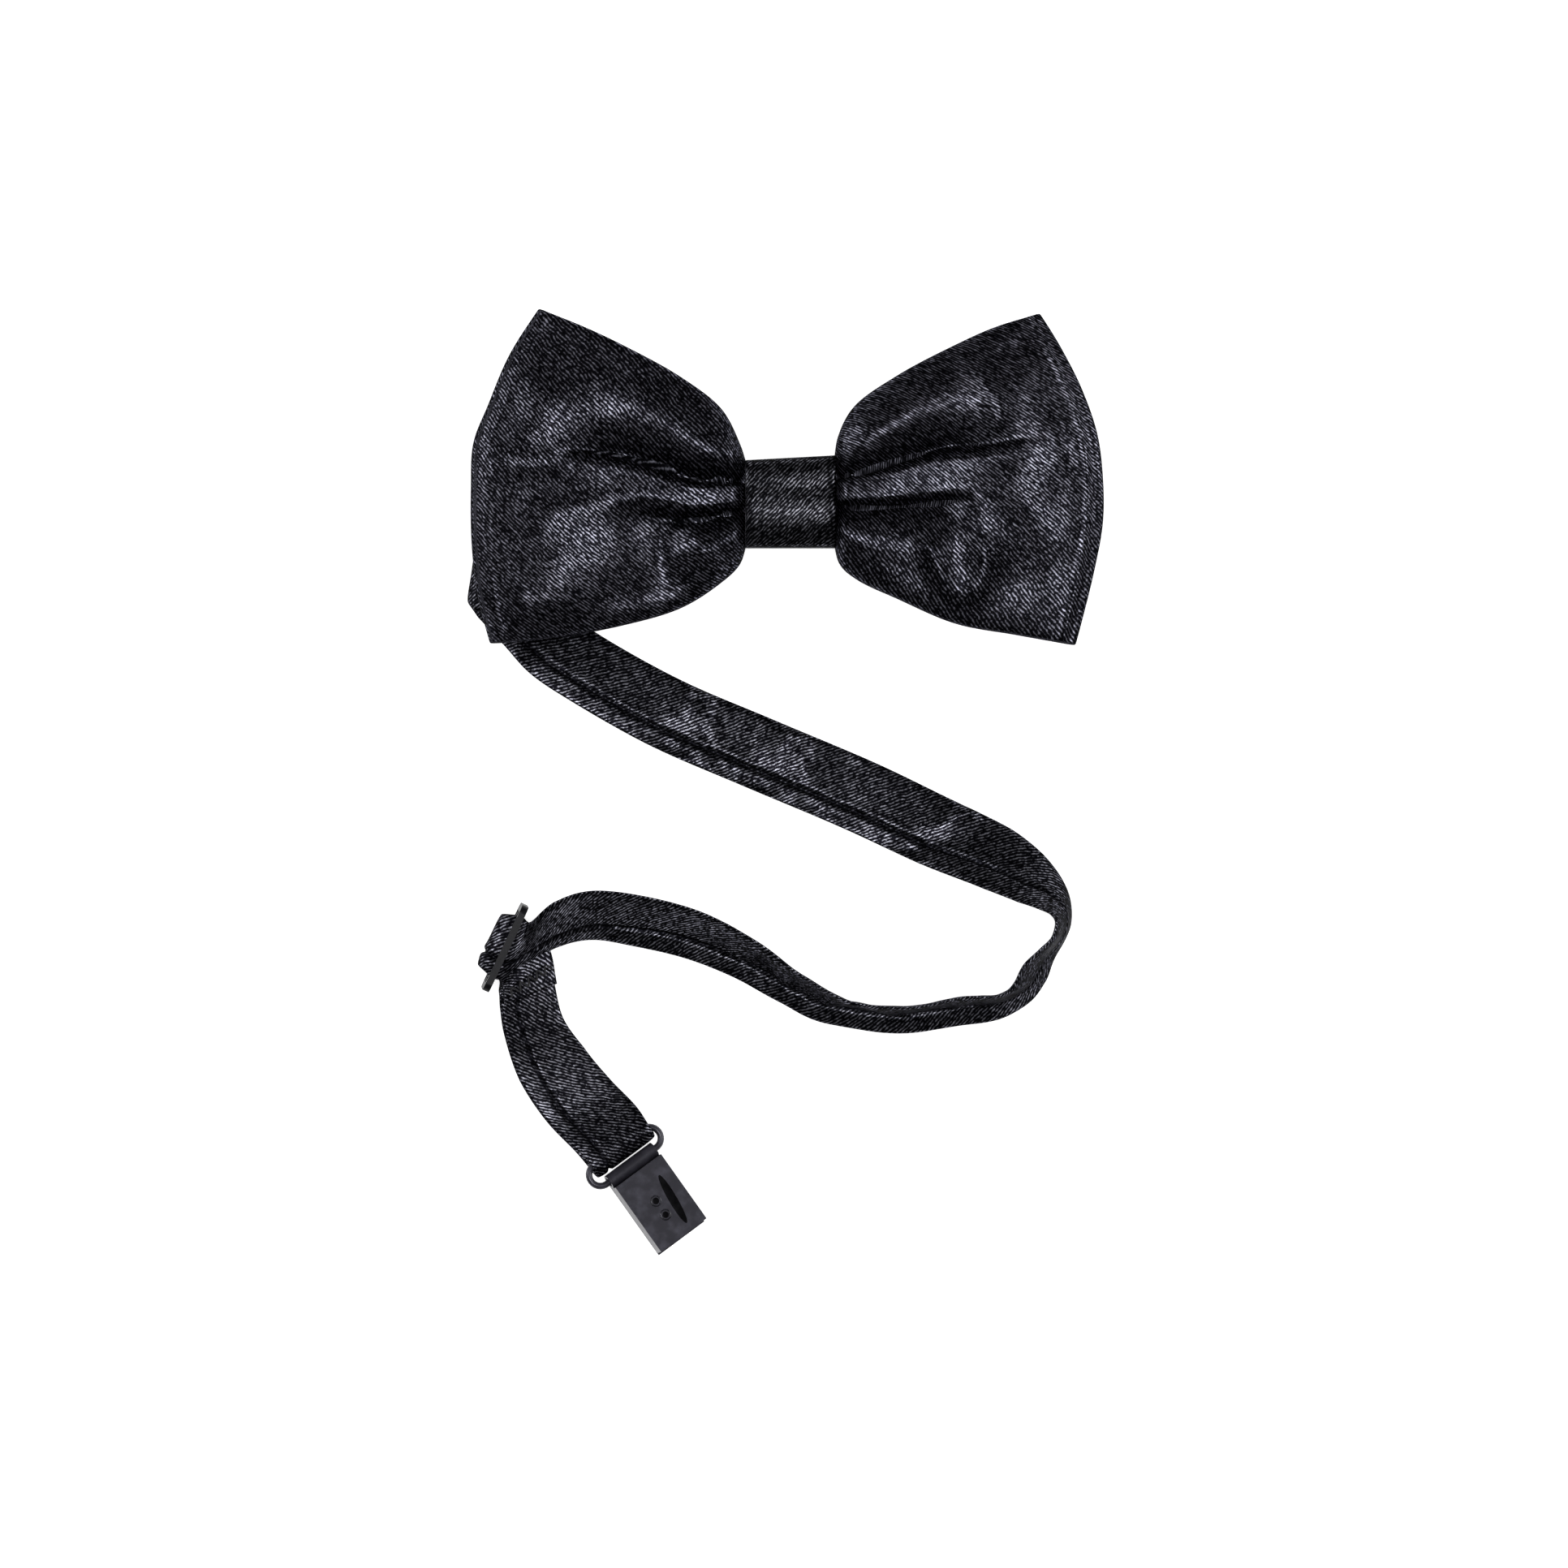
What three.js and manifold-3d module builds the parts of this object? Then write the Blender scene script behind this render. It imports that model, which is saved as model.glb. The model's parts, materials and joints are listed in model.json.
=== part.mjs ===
// A ready-tied satin bow tie on an adjustable neck strap, laid down flat with its front up.
// Millimetres. +Z is up, towards the viewer; +Y runs from the clasp end up to the bow;
// +X runs from the bow's left wing to its right wing. The origin is under the middle of the
// whole layout, on the surface it lies on.
import * as THREE from "three";
import { mergeVertices } from "three/addons/utils/BufferGeometryUtils.js";
import Module from "manifold-3d";

const wasm = await Module();
wasm.setup();

// ---------------------------------------------------------------- driving sizes
const clearance = 0.3; // between pieces that touch

// Neck strap: a flat satin tube with a seam along it.
const strapWidth = 14.2;
const strapThickness = 1.0;
const strapGather = 1.6; // how much narrower it bunches up inside a ring
const stackSpread = 0.2; // extra room where three layers lie on each other

// Knot band: a satin band round the middle of the bow, closed at the back.
const knotX = 1.2;
const knotY = 53.3;
const knotWidth = 16.7; // along X
const knotSideRoom = 0.7; // beside the strap, inside the band
const knotDepth = 12.0; // along Z
const knotCorner = 2.6;
const bandThickness = 1.0;
const bandSlack = 0.4; // between the band's front and the gathered waist
const bandSeamGap = 1.4; // between the band's two ends at the back

// Bow: a flattened satin loop, pleated at the waist.
const wingRimDepth = 2.6; // thickness along the wings' edges
const wingFrontCrown = 6.6; // how far the front puffs up
const wingBackCrown = 1.9; // how far the back puffs down
const wingEdgeHeight = 8.2; // height of the wings' outer edges over the surface
const interliningThickness = 0.6;
const interliningInset = 0.93; // how far out along each wing the interlining reaches

// Threads.
const gatherThread = 0.5;
const gatherTurns = 3;
const seamThread = 0.4;

// Wire rings that the strap's ends fold round.
const wire = 1.3;
const ringSideRoom = 0.4; // at each edge of the strap, inside the ring
const ringPlay = 0.9; // between the strap's fold and the knuckle

// Slider: a flat plate with a centre bar between two slots.
const sliderPlate = 1.3;
const sliderCentreBar = 1.2;
const sliderSideBar = 1.4;
const sliderEndBar = 1.5;
const sliderCorner = 1.6;
const sliderLift = 0.15; // its lower bar is this far off the surface
const sliderLean = 5; // degrees from upright

// Clasp box: folded sheet metal, open at its far end.
const sheet = 0.5;
const boxLength = 15.0;
const boxWidth = 11.0;
const boxHeight = 3.6;
const boxStart = 1.4; // from the hinge axis to the box
const boxLip = 0.5; // how far its floor sticks out at the mouth
const boxDroop = 2; // degrees that its mouth hangs lower than the ring
const dimpleRadius = 0.95;
const dimpleDepth = 0.25;

// Tongue: a flat plate whose spring leaf clicks into the clasp box.
const tongueShorter = 1.6; // how much shorter it is than the box
const tongueFit = 0.4; // side play in the clasp box
const tonguePlate = 0.6;
const leafThickness = 0.4;
const leafLength = 8.6;
const leafInset = 1.0; // narrower than the plate, on each side
const leafRise = 7.5; // degrees

// ---------------------------------------------------------------- sizes that follow
const layerPitch = strapThickness + clearance; // from one strap layer to the next
const strapGatheredWidth = strapWidth - strapGather;
const knotHeight = strapWidth + 2 * (bandThickness + knotSideRoom); // along Y

// The waist fills what the band, the strap and the gathering thread leave.
const knotPassHeight = bandThickness + clearance + strapThickness / 2;
const gatherStandOff = clearance + gatherThread;
const waistUnderside = knotPassHeight + strapThickness / 2 + clearance + gatherStandOff;
const waistUpperside = knotDepth - bandThickness - bandSlack - gatherStandOff;
const waistHalfHeight = knotHeight / 2 - bandThickness - clearance - gatherStandOff;
const waistHalfDepth = (waistUpperside - waistUnderside) / 2;
const waistMiddleHeight = (waistUpperside + waistUnderside) / 2;

// Folds of the strap, at the middle of its thickness.
const ringFoldRadius = wire / 2 + clearance + strapThickness / 2;
const barCorner = Math.hypot(sliderCentreBar, sliderPlate) / 2;
const innerFoldRadius = barCorner + clearance + strapThickness / 2;
const outerFoldRadius = innerFoldRadius + layerPitch;

// The tube of sheet metal rolled round a ring's bar, and the ring that it leaves room in.
const knuckleBore = wire / 2 + clearance;
const knuckleOuter = knuckleBore + sheet;
const ringLength = strapWidth + 2 * (ringSideRoom + wire);
const ringReach = ringFoldRadius + strapThickness / 2 + ringPlay + knuckleOuter; // bar to bar
const ringWidth = ringReach + wire;
const knuckleLength = ringLength - ringWidth - 1;

const slotLength = strapWidth + 2 * clearance;
const sliderSlot = outerFoldRadius + strapThickness / 2 + clearance - sliderCentreBar / 2;
const sliderLength = slotLength + 2 * sliderEndBar;
const sliderHeight = sliderCentreBar + 2 * (sliderSlot + sliderSideBar);

const boxEnd = boxStart + boxLength;
const tongueLength = boxLength - tongueShorter;

// ---------------------------------------------------------------- materials
const satin = { color: 0x17171b, roughness: 0.45, metalness: 0 };
const lacquer = { color: 0x3a3940, roughness: 0.3, metalness: 0.5 };
const finishes = {
  satin,
  knotSatin: { ...satin, color: 0x1b1b20 },
  strapSatin: { ...satin, color: 0x19191e },
  fleece: { color: 0x8c8c8e, roughness: 0.95, metalness: 0 },
  thread: { color: 0x141416, roughness: 0.7, metalness: 0 },
  lacquer,
  spring: { ...lacquer, color: 0x55555c },
};

// ---------------------------------------------------------------- small tools
const rad = THREE.MathUtils.degToRad;
const vec = (x, y, z) => new THREE.Vector3(x, y, z);
const model = new THREE.Group();

// Adds one named piece with its own material.
function piece(name, geometry, finish, parent = model) {
  const mesh = new THREE.Mesh(geometry, new THREE.MeshStandardMaterial(finish));
  mesh.name = name;
  parent.add(mesh);
  return mesh;
}

// A solid for joining and cutting, from a closed geometry.
function solid(geometry) {
  const bare = new THREE.BufferGeometry();
  const source = geometry.index ? geometry.toNonIndexed() : geometry;
  bare.setAttribute("position", source.getAttribute("position"));
  const merged = mergeVertices(bare, 1e-4);
  return new wasm.Manifold(
    new wasm.Mesh({
      numProp: 3,
      vertProperties: merged.attributes.position.array,
      triVerts: new Uint32Array(merged.index.array),
    }),
  );
}

// The geometry of a solid.
function geometryOf(made) {
  const mesh = made.getMesh();
  const geometry = new THREE.BufferGeometry();
  geometry.setAttribute("position", new THREE.BufferAttribute(mesh.vertProperties, 3));
  geometry.setIndex(new THREE.BufferAttribute(mesh.triVerts, 1));
  geometry.computeVertexNormals();
  return geometry;
}

// A closed skin through a row of sections. Each section goes along one face and back along
// the other, with an equal, even number of points; both ends are capped.
function loft(sections) {
  const points = sections.flat();
  const around = sections[0].length;
  const faces = [];
  for (let row = 0; row + 1 < sections.length; row += 1) {
    for (let i = 0; i < around; i += 1) {
      const a = row * around + i;
      const b = row * around + ((i + 1) % around);
      faces.push(a, b, a + around, b, b + around, a + around);
    }
  }
  for (const last of [false, true]) {
    const first = last ? (sections.length - 1) * around : 0;
    for (let i = 0; i + 1 < around / 2; i += 1) {
      const [a, b, c, d] = [i, i + 1, around - 2 - i, around - 1 - i].map((n) => first + n);
      if (last) faces.push(a, b, c, a, c, d);
      else faces.push(a, c, b, a, d, c);
    }
  }
  const geometry = new THREE.BufferGeometry().setFromPoints(points);
  geometry.setIndex(faces);
  if (solid(geometry).volume() < 0) geometry.setIndex(faces.reverse());
  geometry.computeVertexNormals();
  return geometry;
}

// A box from its low corner to its high corner.
function block(low, high) {
  const size = high.map((value, i) => value - low[i]);
  const geometry = new THREE.BoxGeometry(...size);
  geometry.translate(...low.map((value, i) => value + size[i] / 2));
  return solid(geometry);
}

// A round bar along Y.
function roundBar(radius, length, x = 0, z = 0, sides = 24) {
  const geometry = new THREE.CylinderGeometry(radius, radius, length, sides);
  geometry.translate(x, 0, z);
  return solid(geometry);
}

// A thread of a given thickness through points.
function threadAlong(points, thickness, steps) {
  const outline = new THREE.Shape();
  for (let side = 0; side < 6; side += 1) {
    const angle = (side * Math.PI) / 3;
    const x = (Math.cos(angle) * thickness) / 2;
    const y = (Math.sin(angle) * thickness) / 2;
    if (side === 0) outline.moveTo(x, y);
    else outline.lineTo(x, y);
  }
  const path = new THREE.CatmullRomCurve3(points);
  return new THREE.ExtrudeGeometry(outline, { steps, extrudePath: path });
}

// A back-and-forth line of stitches along Y, in a frame of its own.
function zigzag(length, reach, count, z) {
  const points = [];
  for (let i = 0; i <= count; i += 1) {
    points.push(vec(i % 2 ? reach / 2 : -reach / 2, length * (i / count - 0.5), z));
  }
  return points;
}

// A frame for a piece of hardware: x points away from the strap, y along its bar. It is
// rolled, pitched and then turned to its heading, in degrees.
function frameAt(name, at, { heading = 0, roll = 0, pitch = 0 }, parent = model) {
  const frame = new THREE.Group();
  frame.name = name;
  frame.position.set(...at);
  frame.rotation.set(rad(roll), rad(pitch), rad(heading), "ZYX");
  parent.add(frame);
  frame.updateMatrixWorld(true);
  return frame;
}

// ---------------------------------------------------------------- where the hardware lies
// The clasp lies rolled over on one edge of its box, so its height follows from the box.
const claspRoll = -16;
const mouthDrop = Math.sin(rad(boxDroop)) * (boxEnd + boxLip) + Math.cos(rad(boxDroop)) * knuckleOuter;
const claspHeight = Math.cos(rad(claspRoll)) * mouthDrop - (Math.sin(rad(claspRoll)) * boxWidth) / 2;
const claspFrame = frameAt("clasp_frame", [-31.5, -69.1, claspHeight], {
  heading: -54.2,
  roll: claspRoll,
});

const tongueFrame = frameAt("tongue_frame", [28, 54, ringFoldRadius + strapThickness / 2], {});
const sliderFrame = frameAt("slider_frame", [-53, -31, sliderHeight / 2 + sliderLift], {
  heading: 154.7,
  pitch: -sliderLean,
});

// ---------------------------------------------------------------- neck strap
// The strap is a list of stations. Each has its middle point and the direction across the
// strap, from its first long edge to its second.

// A station laid on the surface: x, y, bearing of the second edge, and how far the strap
// leans, in degrees, with its first edge up. A height given last lifts its middle.
function station([x, y, bearing, lean = 0, height]) {
  const across = vec(
    Math.cos(rad(bearing)) * Math.cos(rad(lean)),
    Math.sin(rad(bearing)) * Math.cos(rad(lean)),
    -Math.sin(rad(lean)),
  );
  const tilt = Math.abs(rad(lean));
  const resting = (strapWidth / 2) * Math.sin(tilt) + (strapThickness / 2) * Math.cos(tilt);
  return { middle: vec(x, y, height ?? resting), across, width: strapWidth };
}

// The same station one or more layers higher.
function raised(from, distance) {
  const up = vec(0, 0, 1).addScaledVector(from.across, -from.across.z).normalize();
  return { ...from, middle: from.middle.clone().addScaledVector(up, distance) };
}

// A station in a hardware frame, at x and z there. side says which end of the bar the
// second edge is at.
function besideBar(frame, side, x, z, width = strapWidth) {
  const middle = vec(x, 0, z).applyMatrix4(frame.matrixWorld);
  const across = vec(0, side, 0).transformDirection(frame.matrixWorld);
  return { middle, across, width };
}

// Stations half way round a bar, from its lower side to its upper side.
function roundTheBar(frame, side, radius, width) {
  const turns = [0, 30, 60, 90, 120, 150, 180];
  return turns.map((turn) =>
    besideBar(frame, side, radius * Math.sin(rad(turn)), -radius * Math.cos(rad(turn)), width),
  );
}

// The short end: a tacked flap, the fold round the tongue's ring, and the run to the knot.
const shortEnd = [
  besideBar(tongueFrame, 1, -12.5, layerPitch - ringFoldRadius),
  besideBar(tongueFrame, 1, -8, layerPitch - ringFoldRadius),
  besideBar(tongueFrame, 1, -4, 0.75),
  ...roundTheBar(tongueFrame, 1, ringFoldRadius, strapGatheredWidth).reverse(),
  besideBar(tongueFrame, 1, -4, -ringFoldRadius),
];

// Through the knot, out behind the left wing, and folded over to the front.
const behindTheBow = [
  [19, 53.8, 90, 0, 1.2],
  [11.5, knotY, 90, 0, knotPassHeight],
  [1, knotY, 90, 0, knotPassHeight],
  [-9.5, knotY, 92, 0, knotPassHeight + 0.05],
  [-21, 51.0, 99, 0, 2.1],
  [-34, 46.6, 104, 0, 2.6],
  [-46, 42.6, 102, 0, 3.4],
  [-53, 40.4, 94, 0, 4.1],
].map(station);

const foldHeight = 3.8; // from one layer to the other at the folded-over end
const foldBearing = 82;
const foldedOver = [0, 45, 90, 135, 180].map((turn) => {
  const middle = -57.4 - (foldHeight / 2) * Math.sin(rad(turn));
  const height = strapThickness / 2 + (foldHeight / 2) * (1 + Math.cos(rad(turn)));
  return station([middle, 38.7 - turn * 0.006, foldBearing, 0, height]);
});

// The long run across, the turn on its edge, and the way back, leaning, to the slider.
const longRun = [
  [-51, 32.6, 68, 0],
  [-44.5, 26.8, 61, 3],
  [-37.8, 22.3, 61, 3],
  [-22.6, 13.8, 63, 8],
  [-5, 6.2, 65, 4],
  [14.6, -2.1, 64, 3],
  [29, -8.9, 62, 10],
  [40.9, -14.2, 62, 26],
  [46.8, -17.7, 59, 43],
  [50.4, -20.6, 48, 58],
  [52.5, -23.3, 32, 70],
  [53.0, -26.2, 2, 77],
  [52.0, -29.3, -18, 78],
  [49.8, -32.2, -34, 73],
  [47.4, -35.6, -38, 67],
  [44.8, -39.2, -45, 68],
  [41.0, -41.5, -68, 71],
  [35.5, -42.3, -86, 74],
  [22.3, -44.2, -92, 73],
  [9, -41.9, -102, 69],
  [1, -37.8, -112, 62],
  [-6, -33.4, -113, 53],
  [-17, -28.4, -103, 47],
  [-28.5, -25.7, -93, 46],
  [-37, -25.0, -86, 46, 5.9],
  [-43.6, -26.4, -84, 40, 7.0],
].map(station);

// From the slider down to the clasp: the layer that carries the pull.
const doubledRun = [
  [-50.0, -35.6, -138, -24],
  [-48.9, -40.2, -155, -27],
  [-47.2, -46.6, -158, -22],
  [-43.2, -54.0, -153, -12],
  [-38.6, -60.2, -149, -12],
].map(station);

const neckStrapRoute = [
  ...shortEnd,
  ...behindTheBow,
  ...foldedOver,
  ...longRun,
  besideBar(sliderFrame, 1, -1.6, outerFoldRadius),
  ...roundTheBar(sliderFrame, 1, outerFoldRadius).reverse(),
  besideBar(sliderFrame, 1, -1.4, -outerFoldRadius),
  ...doubledRun,
  besideBar(claspFrame, -1, -4, -ringFoldRadius),
  ...roundTheBar(claspFrame, -1, ringFoldRadius, strapGatheredWidth),
  besideBar(claspFrame, -1, -4, layerPitch - ringFoldRadius + 0.9),
  ...doubledRun.toReversed().map((at) => raised(at, layerPitch)),
  besideBar(sliderFrame, 1, -1.4, -innerFoldRadius),
  ...roundTheBar(sliderFrame, 1, innerFoldRadius),
  besideBar(sliderFrame, 1, -1.4, innerFoldRadius),
  raised(doubledRun[0], 2 * layerPitch + stackSpread),
  raised(doubledRun[1], 2 * layerPitch),
];

// A flat ribbon through stations, with slim rounded edges.
function ribbon(stations, thickness, stepsPerStation) {
  const middles = new THREE.CatmullRomCurve3(stations.map((at) => at.middle));
  const acrosses = new THREE.CatmullRomCurve3(
    stations.map((at) => at.across.clone().multiplyScalar(at.width / 2)),
  );
  const edge = thickness * 0.5;
  const count = (stations.length - 1) * stepsPerStation;
  const sections = [];
  for (let i = 0; i <= count; i += 1) {
    const middle = middles.getPoint(i / count);
    const half = acrosses.getPoint(i / count);
    const face = middles.getTangent(i / count).cross(half).normalize();
    const inset = half.clone().setLength(half.length() - edge);
    const lift = face.multiplyScalar(thickness / 2);
    sections.push([
      middle.clone().sub(half),
      middle.clone().sub(inset).sub(lift),
      middle.clone().add(inset).sub(lift),
      middle.clone().add(half),
      middle.clone().add(inset).add(lift),
      middle.clone().sub(inset).add(lift),
    ]);
  }
  return loft(sections);
}

piece("neck_strap", ribbon(neckStrapRoute, strapThickness, 2), finishes.strapSatin);

// The thread that tacks a folded end of the strap to the layer under it. It lies across the
// flap, between two of its stations.
function tackOn(from, to) {
  const across = from.across.clone().add(to.across).normalize();
  const along = to.middle.clone().sub(from.middle).normalize();
  let up = along.clone().cross(across).normalize();
  if (up.z < 0) up = up.negate();
  const lift = strapThickness / 2 + clearance + seamThread / 2;
  const middle = from.middle.clone().lerp(to.middle, 0.5).addScaledVector(up, lift);
  const stitches = zigzag(strapWidth - 4, 1.6, 10, 0);
  const side = across.clone().cross(up);
  const place = new THREE.Matrix4().makeBasis(side, across, up).setPosition(middle);
  stitches.forEach((point) => point.applyMatrix4(place));
  return threadAlong(stitches, seamThread, 40);
}
piece("short_end_tack", tackOn(neckStrapRoute[0], neckStrapRoute[1]), finishes.thread);
piece("slider_end_tack", tackOn(...neckStrapRoute.slice(-2)), finishes.thread);

// ---------------------------------------------------------------- bow
// Each wing's outline, from the waist out. The two waist points lie inside the knot band.
const waistTop = knotY + waistHalfHeight;
const waistBottom = knotY - waistHalfHeight;
const leftWing = {
  top: [
    [-7.4, waistTop], [-8.5, 64.4], [-11.8, 71.0], [-19.5, 77.0],
    [-30.7, 83.1], [-38.1, 86.5], [-46.6, 89.8],
  ],
  bottom: [
    [-7.4, waistBottom], [-8.7, 41.8], [-12.1, 38.1], [-19.5, 33.5],
    [-30.7, 30.2], [-43.0, 28.0], [-56.2, 26.8],
  ],
  outer: [
    [-56.2, 26.8], [-58.2, 35.8], [-59.2, 45.2], [-59.3, 56.0],
    [-58.8, 64.5], [-56.0, 71.6], [-52.0, 81.0], [-46.6, 89.8],
  ],
};
const rightWing = {
  top: [
    [9.8, waistTop], [10.5, 65.8], [13.2, 71.4], [21.4, 77.3],
    [32.5, 83.1], [40.0, 86.4], [48.6, 88.9],
  ],
  bottom: [
    [9.8, waistBottom], [10.9, 41.8], [13.9, 38.8], [21.4, 35.3],
    [32.5, 30.6], [44.0, 28.5], [55.6, 26.5],
  ],
  outer: [
    [55.6, 26.5], [59.0, 41.0], [60.4, 49.5], [60.4, 57.0],
    [59.3, 66.0], [56.2, 74.9], [52.3, 82.6], [48.6, 88.9],
  ],
};

const curveOf = (points) => new THREE.CatmullRomCurve3(points.map(([x, y]) => vec(x, y, 0)));

// A wing as a function: out from the waist (0 to 1) and up the wing (0 to 1), to x and y.
function wingMap(wing) {
  const top = curveOf(wing.top);
  const bottom = curveOf(wing.bottom);
  const outer = curveOf(wing.outer);
  return (out, up) => {
    const straight = bottom.getPoint(out).lerp(top.getPoint(out), up);
    const chord = bottom.getPoint(1).lerp(top.getPoint(1), up);
    return straight.addScaledVector(outer.getPoint(up).sub(chord), out ** 2);
  };
}

// Height of the wing's middle layer, and how far front and back stand off it.
const wingMiddle = (out) =>
  THREE.MathUtils.lerp(waistMiddleHeight, wingEdgeHeight, THREE.MathUtils.smoothstep(out, 0, 0.7));
const rimHalf = (out) => THREE.MathUtils.lerp(0.8, wingRimDepth / 2, Math.min(1, out * 4));
const rounded = (up) => (1 - Math.abs(2 * up - 1) ** 2.4) ** 0.6;
const crown = (out, full) =>
  THREE.MathUtils.lerp(
    waistHalfDepth - 0.8,
    full * Math.sin(Math.PI * Math.min(1, 0.2 + 0.8 * out)) ** 0.8,
    THREE.MathUtils.smoothstep(out, 0, 0.22),
  );

// Sections of a layer of the bow, from the left wing's outer edge to the right wing's.
// reach is how far out it goes, front and back how far it stands off the middle layer,
// and overrun how far it sticks out past the wing's long edges.
function bowSections({ reach, front, back, overrun, columns, rows }) {
  const sections = [];
  for (const [wing, order] of [[leftWing, -1], [rightWing, 1]]) {
    const map = wingMap(wing);
    const steps = Array.from({ length: columns + 1 }, (_, i) => (i / columns) * reach);
    if (order < 0) steps.reverse();
    for (const out of steps) {
      const faces = [back, front].map((standOff) => {
        const line = [];
        for (let i = 0; i <= rows; i += 1) {
          const up = i / rows;
          const point = map(out, up);
          if (i === 0) point.y -= overrun;
          if (i === rows) point.y += overrun;
          point.z = wingMiddle(out) + standOff(out, up);
          line.push(point);
        }
        return line;
      });
      sections.push([...faces[0], ...faces[1].reverse()]);
    }
  }
  return sections;
}

const bowSkin = loft(
  bowSections({
    reach: 1,
    front: (out, up) => rimHalf(out) + crown(out, wingFrontCrown) * rounded(up),
    back: (out, up) => -rimHalf(out) - crown(out, wingBackCrown) * rounded(up),
    overrun: 0,
    columns: 12,
    rows: 12,
  }),
);
const flatLayer = (thickness, overrun) =>
  loft(
    bowSections({
      reach: overrun > 0 ? interliningInset + 0.01 : interliningInset,
      front: () => thickness / 2,
      back: () => -thickness / 2,
      overrun,
      columns: 8,
      rows: 6,
    }),
  );
const loopGap = solid(flatLayer(interliningThickness + 2 * clearance, 3));
piece("bow_loop", geometryOf(solid(bowSkin).subtract(loopGap)), finishes.satin);
piece("bow_interlining", flatLayer(interliningThickness, -0.5), finishes.fleece);

// The thread wound round the waist, under the knot band. Its turns are rounded rectangles.
const squarish = (value) => Math.sign(value) * Math.abs(value) ** 0.75;
const windings = [];
for (let i = 0; i <= gatherTurns * 16; i += 1) {
  const turn = (i / 16) * 2 * Math.PI;
  const high = (waistHalfHeight + clearance + gatherThread / 2) * squarish(Math.sin(turn));
  const deep = (waistHalfDepth + clearance + gatherThread / 2) * squarish(Math.cos(turn));
  const x = knotX + (i / 16 - gatherTurns / 2) * gatherThread * 2;
  windings.push(vec(x, knotY + high, waistMiddleHeight + deep));
}
piece("gather_thread", threadAlong(windings, gatherThread, gatherTurns * 20), finishes.thread);

// ---------------------------------------------------------------- knot band
// A rounded rectangle, y along its width and z up from the surface.
function roundedOutline(path, inset) {
  const halfWidth = knotHeight / 2 - inset;
  const low = inset;
  const high = knotDepth - inset;
  const corner = knotCorner - inset;
  path.moveTo(-halfWidth + corner, low);
  path.lineTo(halfWidth - corner, low);
  path.absarc(halfWidth - corner, low + corner, corner, -Math.PI / 2, 0);
  path.lineTo(halfWidth, high - corner);
  path.absarc(halfWidth - corner, high - corner, corner, 0, Math.PI / 2);
  path.lineTo(-halfWidth + corner, high);
  path.absarc(-halfWidth + corner, high - corner, corner, Math.PI / 2, Math.PI);
  path.lineTo(-halfWidth, low + corner);
  path.absarc(-halfWidth + corner, low + corner, corner, Math.PI, 1.5 * Math.PI);
  return path;
}
const bandShape = roundedOutline(new THREE.Shape(), 0);
bandShape.holes.push(roundedOutline(new THREE.Path(), bandThickness));
const bandRing = new THREE.ExtrudeGeometry(bandShape, {
  depth: knotWidth,
  bevelEnabled: false,
  curveSegments: 8,
});
bandRing.applyMatrix4(
  new THREE.Matrix4()
    .makeBasis(vec(0, 1, 0), vec(0, 0, 1), vec(1, 0, 0))
    .setPosition(knotX - knotWidth / 2, knotY, 0),
);
const seamCut = block(
  [knotX - knotWidth, knotY - bandSeamGap / 2, -1],
  [knotX + knotWidth, knotY + bandSeamGap / 2, bandThickness + 0.1],
);
piece("knot_band", geometryOf(solid(bandRing).subtract(seamCut)), finishes.knotSatin);

// The ladder stitches that pull the band's ends together at the back.
const ladder = zigzag(knotWidth - 1.5, bandSeamGap - seamThread - 2 * 0.15, 14, bandThickness / 2);
const ladderStitch = threadAlong(ladder, seamThread, 56);
ladderStitch.rotateZ(Math.PI / 2);
ladderStitch.translate(knotX, knotY, 0);
piece("knot_seam_thread", ladderStitch, finishes.thread);

// ---------------------------------------------------------------- slider
const sliderShape = new THREE.Shape();
const sliderX = sliderLength / 2 - sliderCorner;
const sliderY = sliderHeight / 2 - sliderCorner;
sliderShape.absarc(sliderX, sliderY, sliderCorner, 0, Math.PI / 2);
sliderShape.absarc(-sliderX, sliderY, sliderCorner, Math.PI / 2, Math.PI);
sliderShape.absarc(-sliderX, -sliderY, sliderCorner, Math.PI, 1.5 * Math.PI);
sliderShape.absarc(sliderX, -sliderY, sliderCorner, 1.5 * Math.PI, 2 * Math.PI);
for (const side of [-1, 1]) {
  const middle = (side * (sliderCentreBar + sliderSlot)) / 2;
  const hole = new THREE.Path();
  hole.moveTo(-slotLength / 2, middle - sliderSlot / 2);
  hole.lineTo(slotLength / 2, middle - sliderSlot / 2);
  hole.lineTo(slotLength / 2, middle + sliderSlot / 2);
  hole.lineTo(-slotLength / 2, middle + sliderSlot / 2);
  hole.closePath();
  sliderShape.holes.push(hole);
}
const sliderBody = new THREE.ExtrudeGeometry(sliderShape, {
  depth: sliderPlate,
  bevelEnabled: false,
  curveSegments: 5,
});
sliderBody.translate(0, 0, -sliderPlate / 2);
sliderBody.applyMatrix4(
  new THREE.Matrix4().makeBasis(vec(0, 1, 0), vec(0, 0, 1), vec(1, 0, 0)),
);
piece("slider", sliderBody, finishes.lacquer, sliderFrame);

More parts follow.
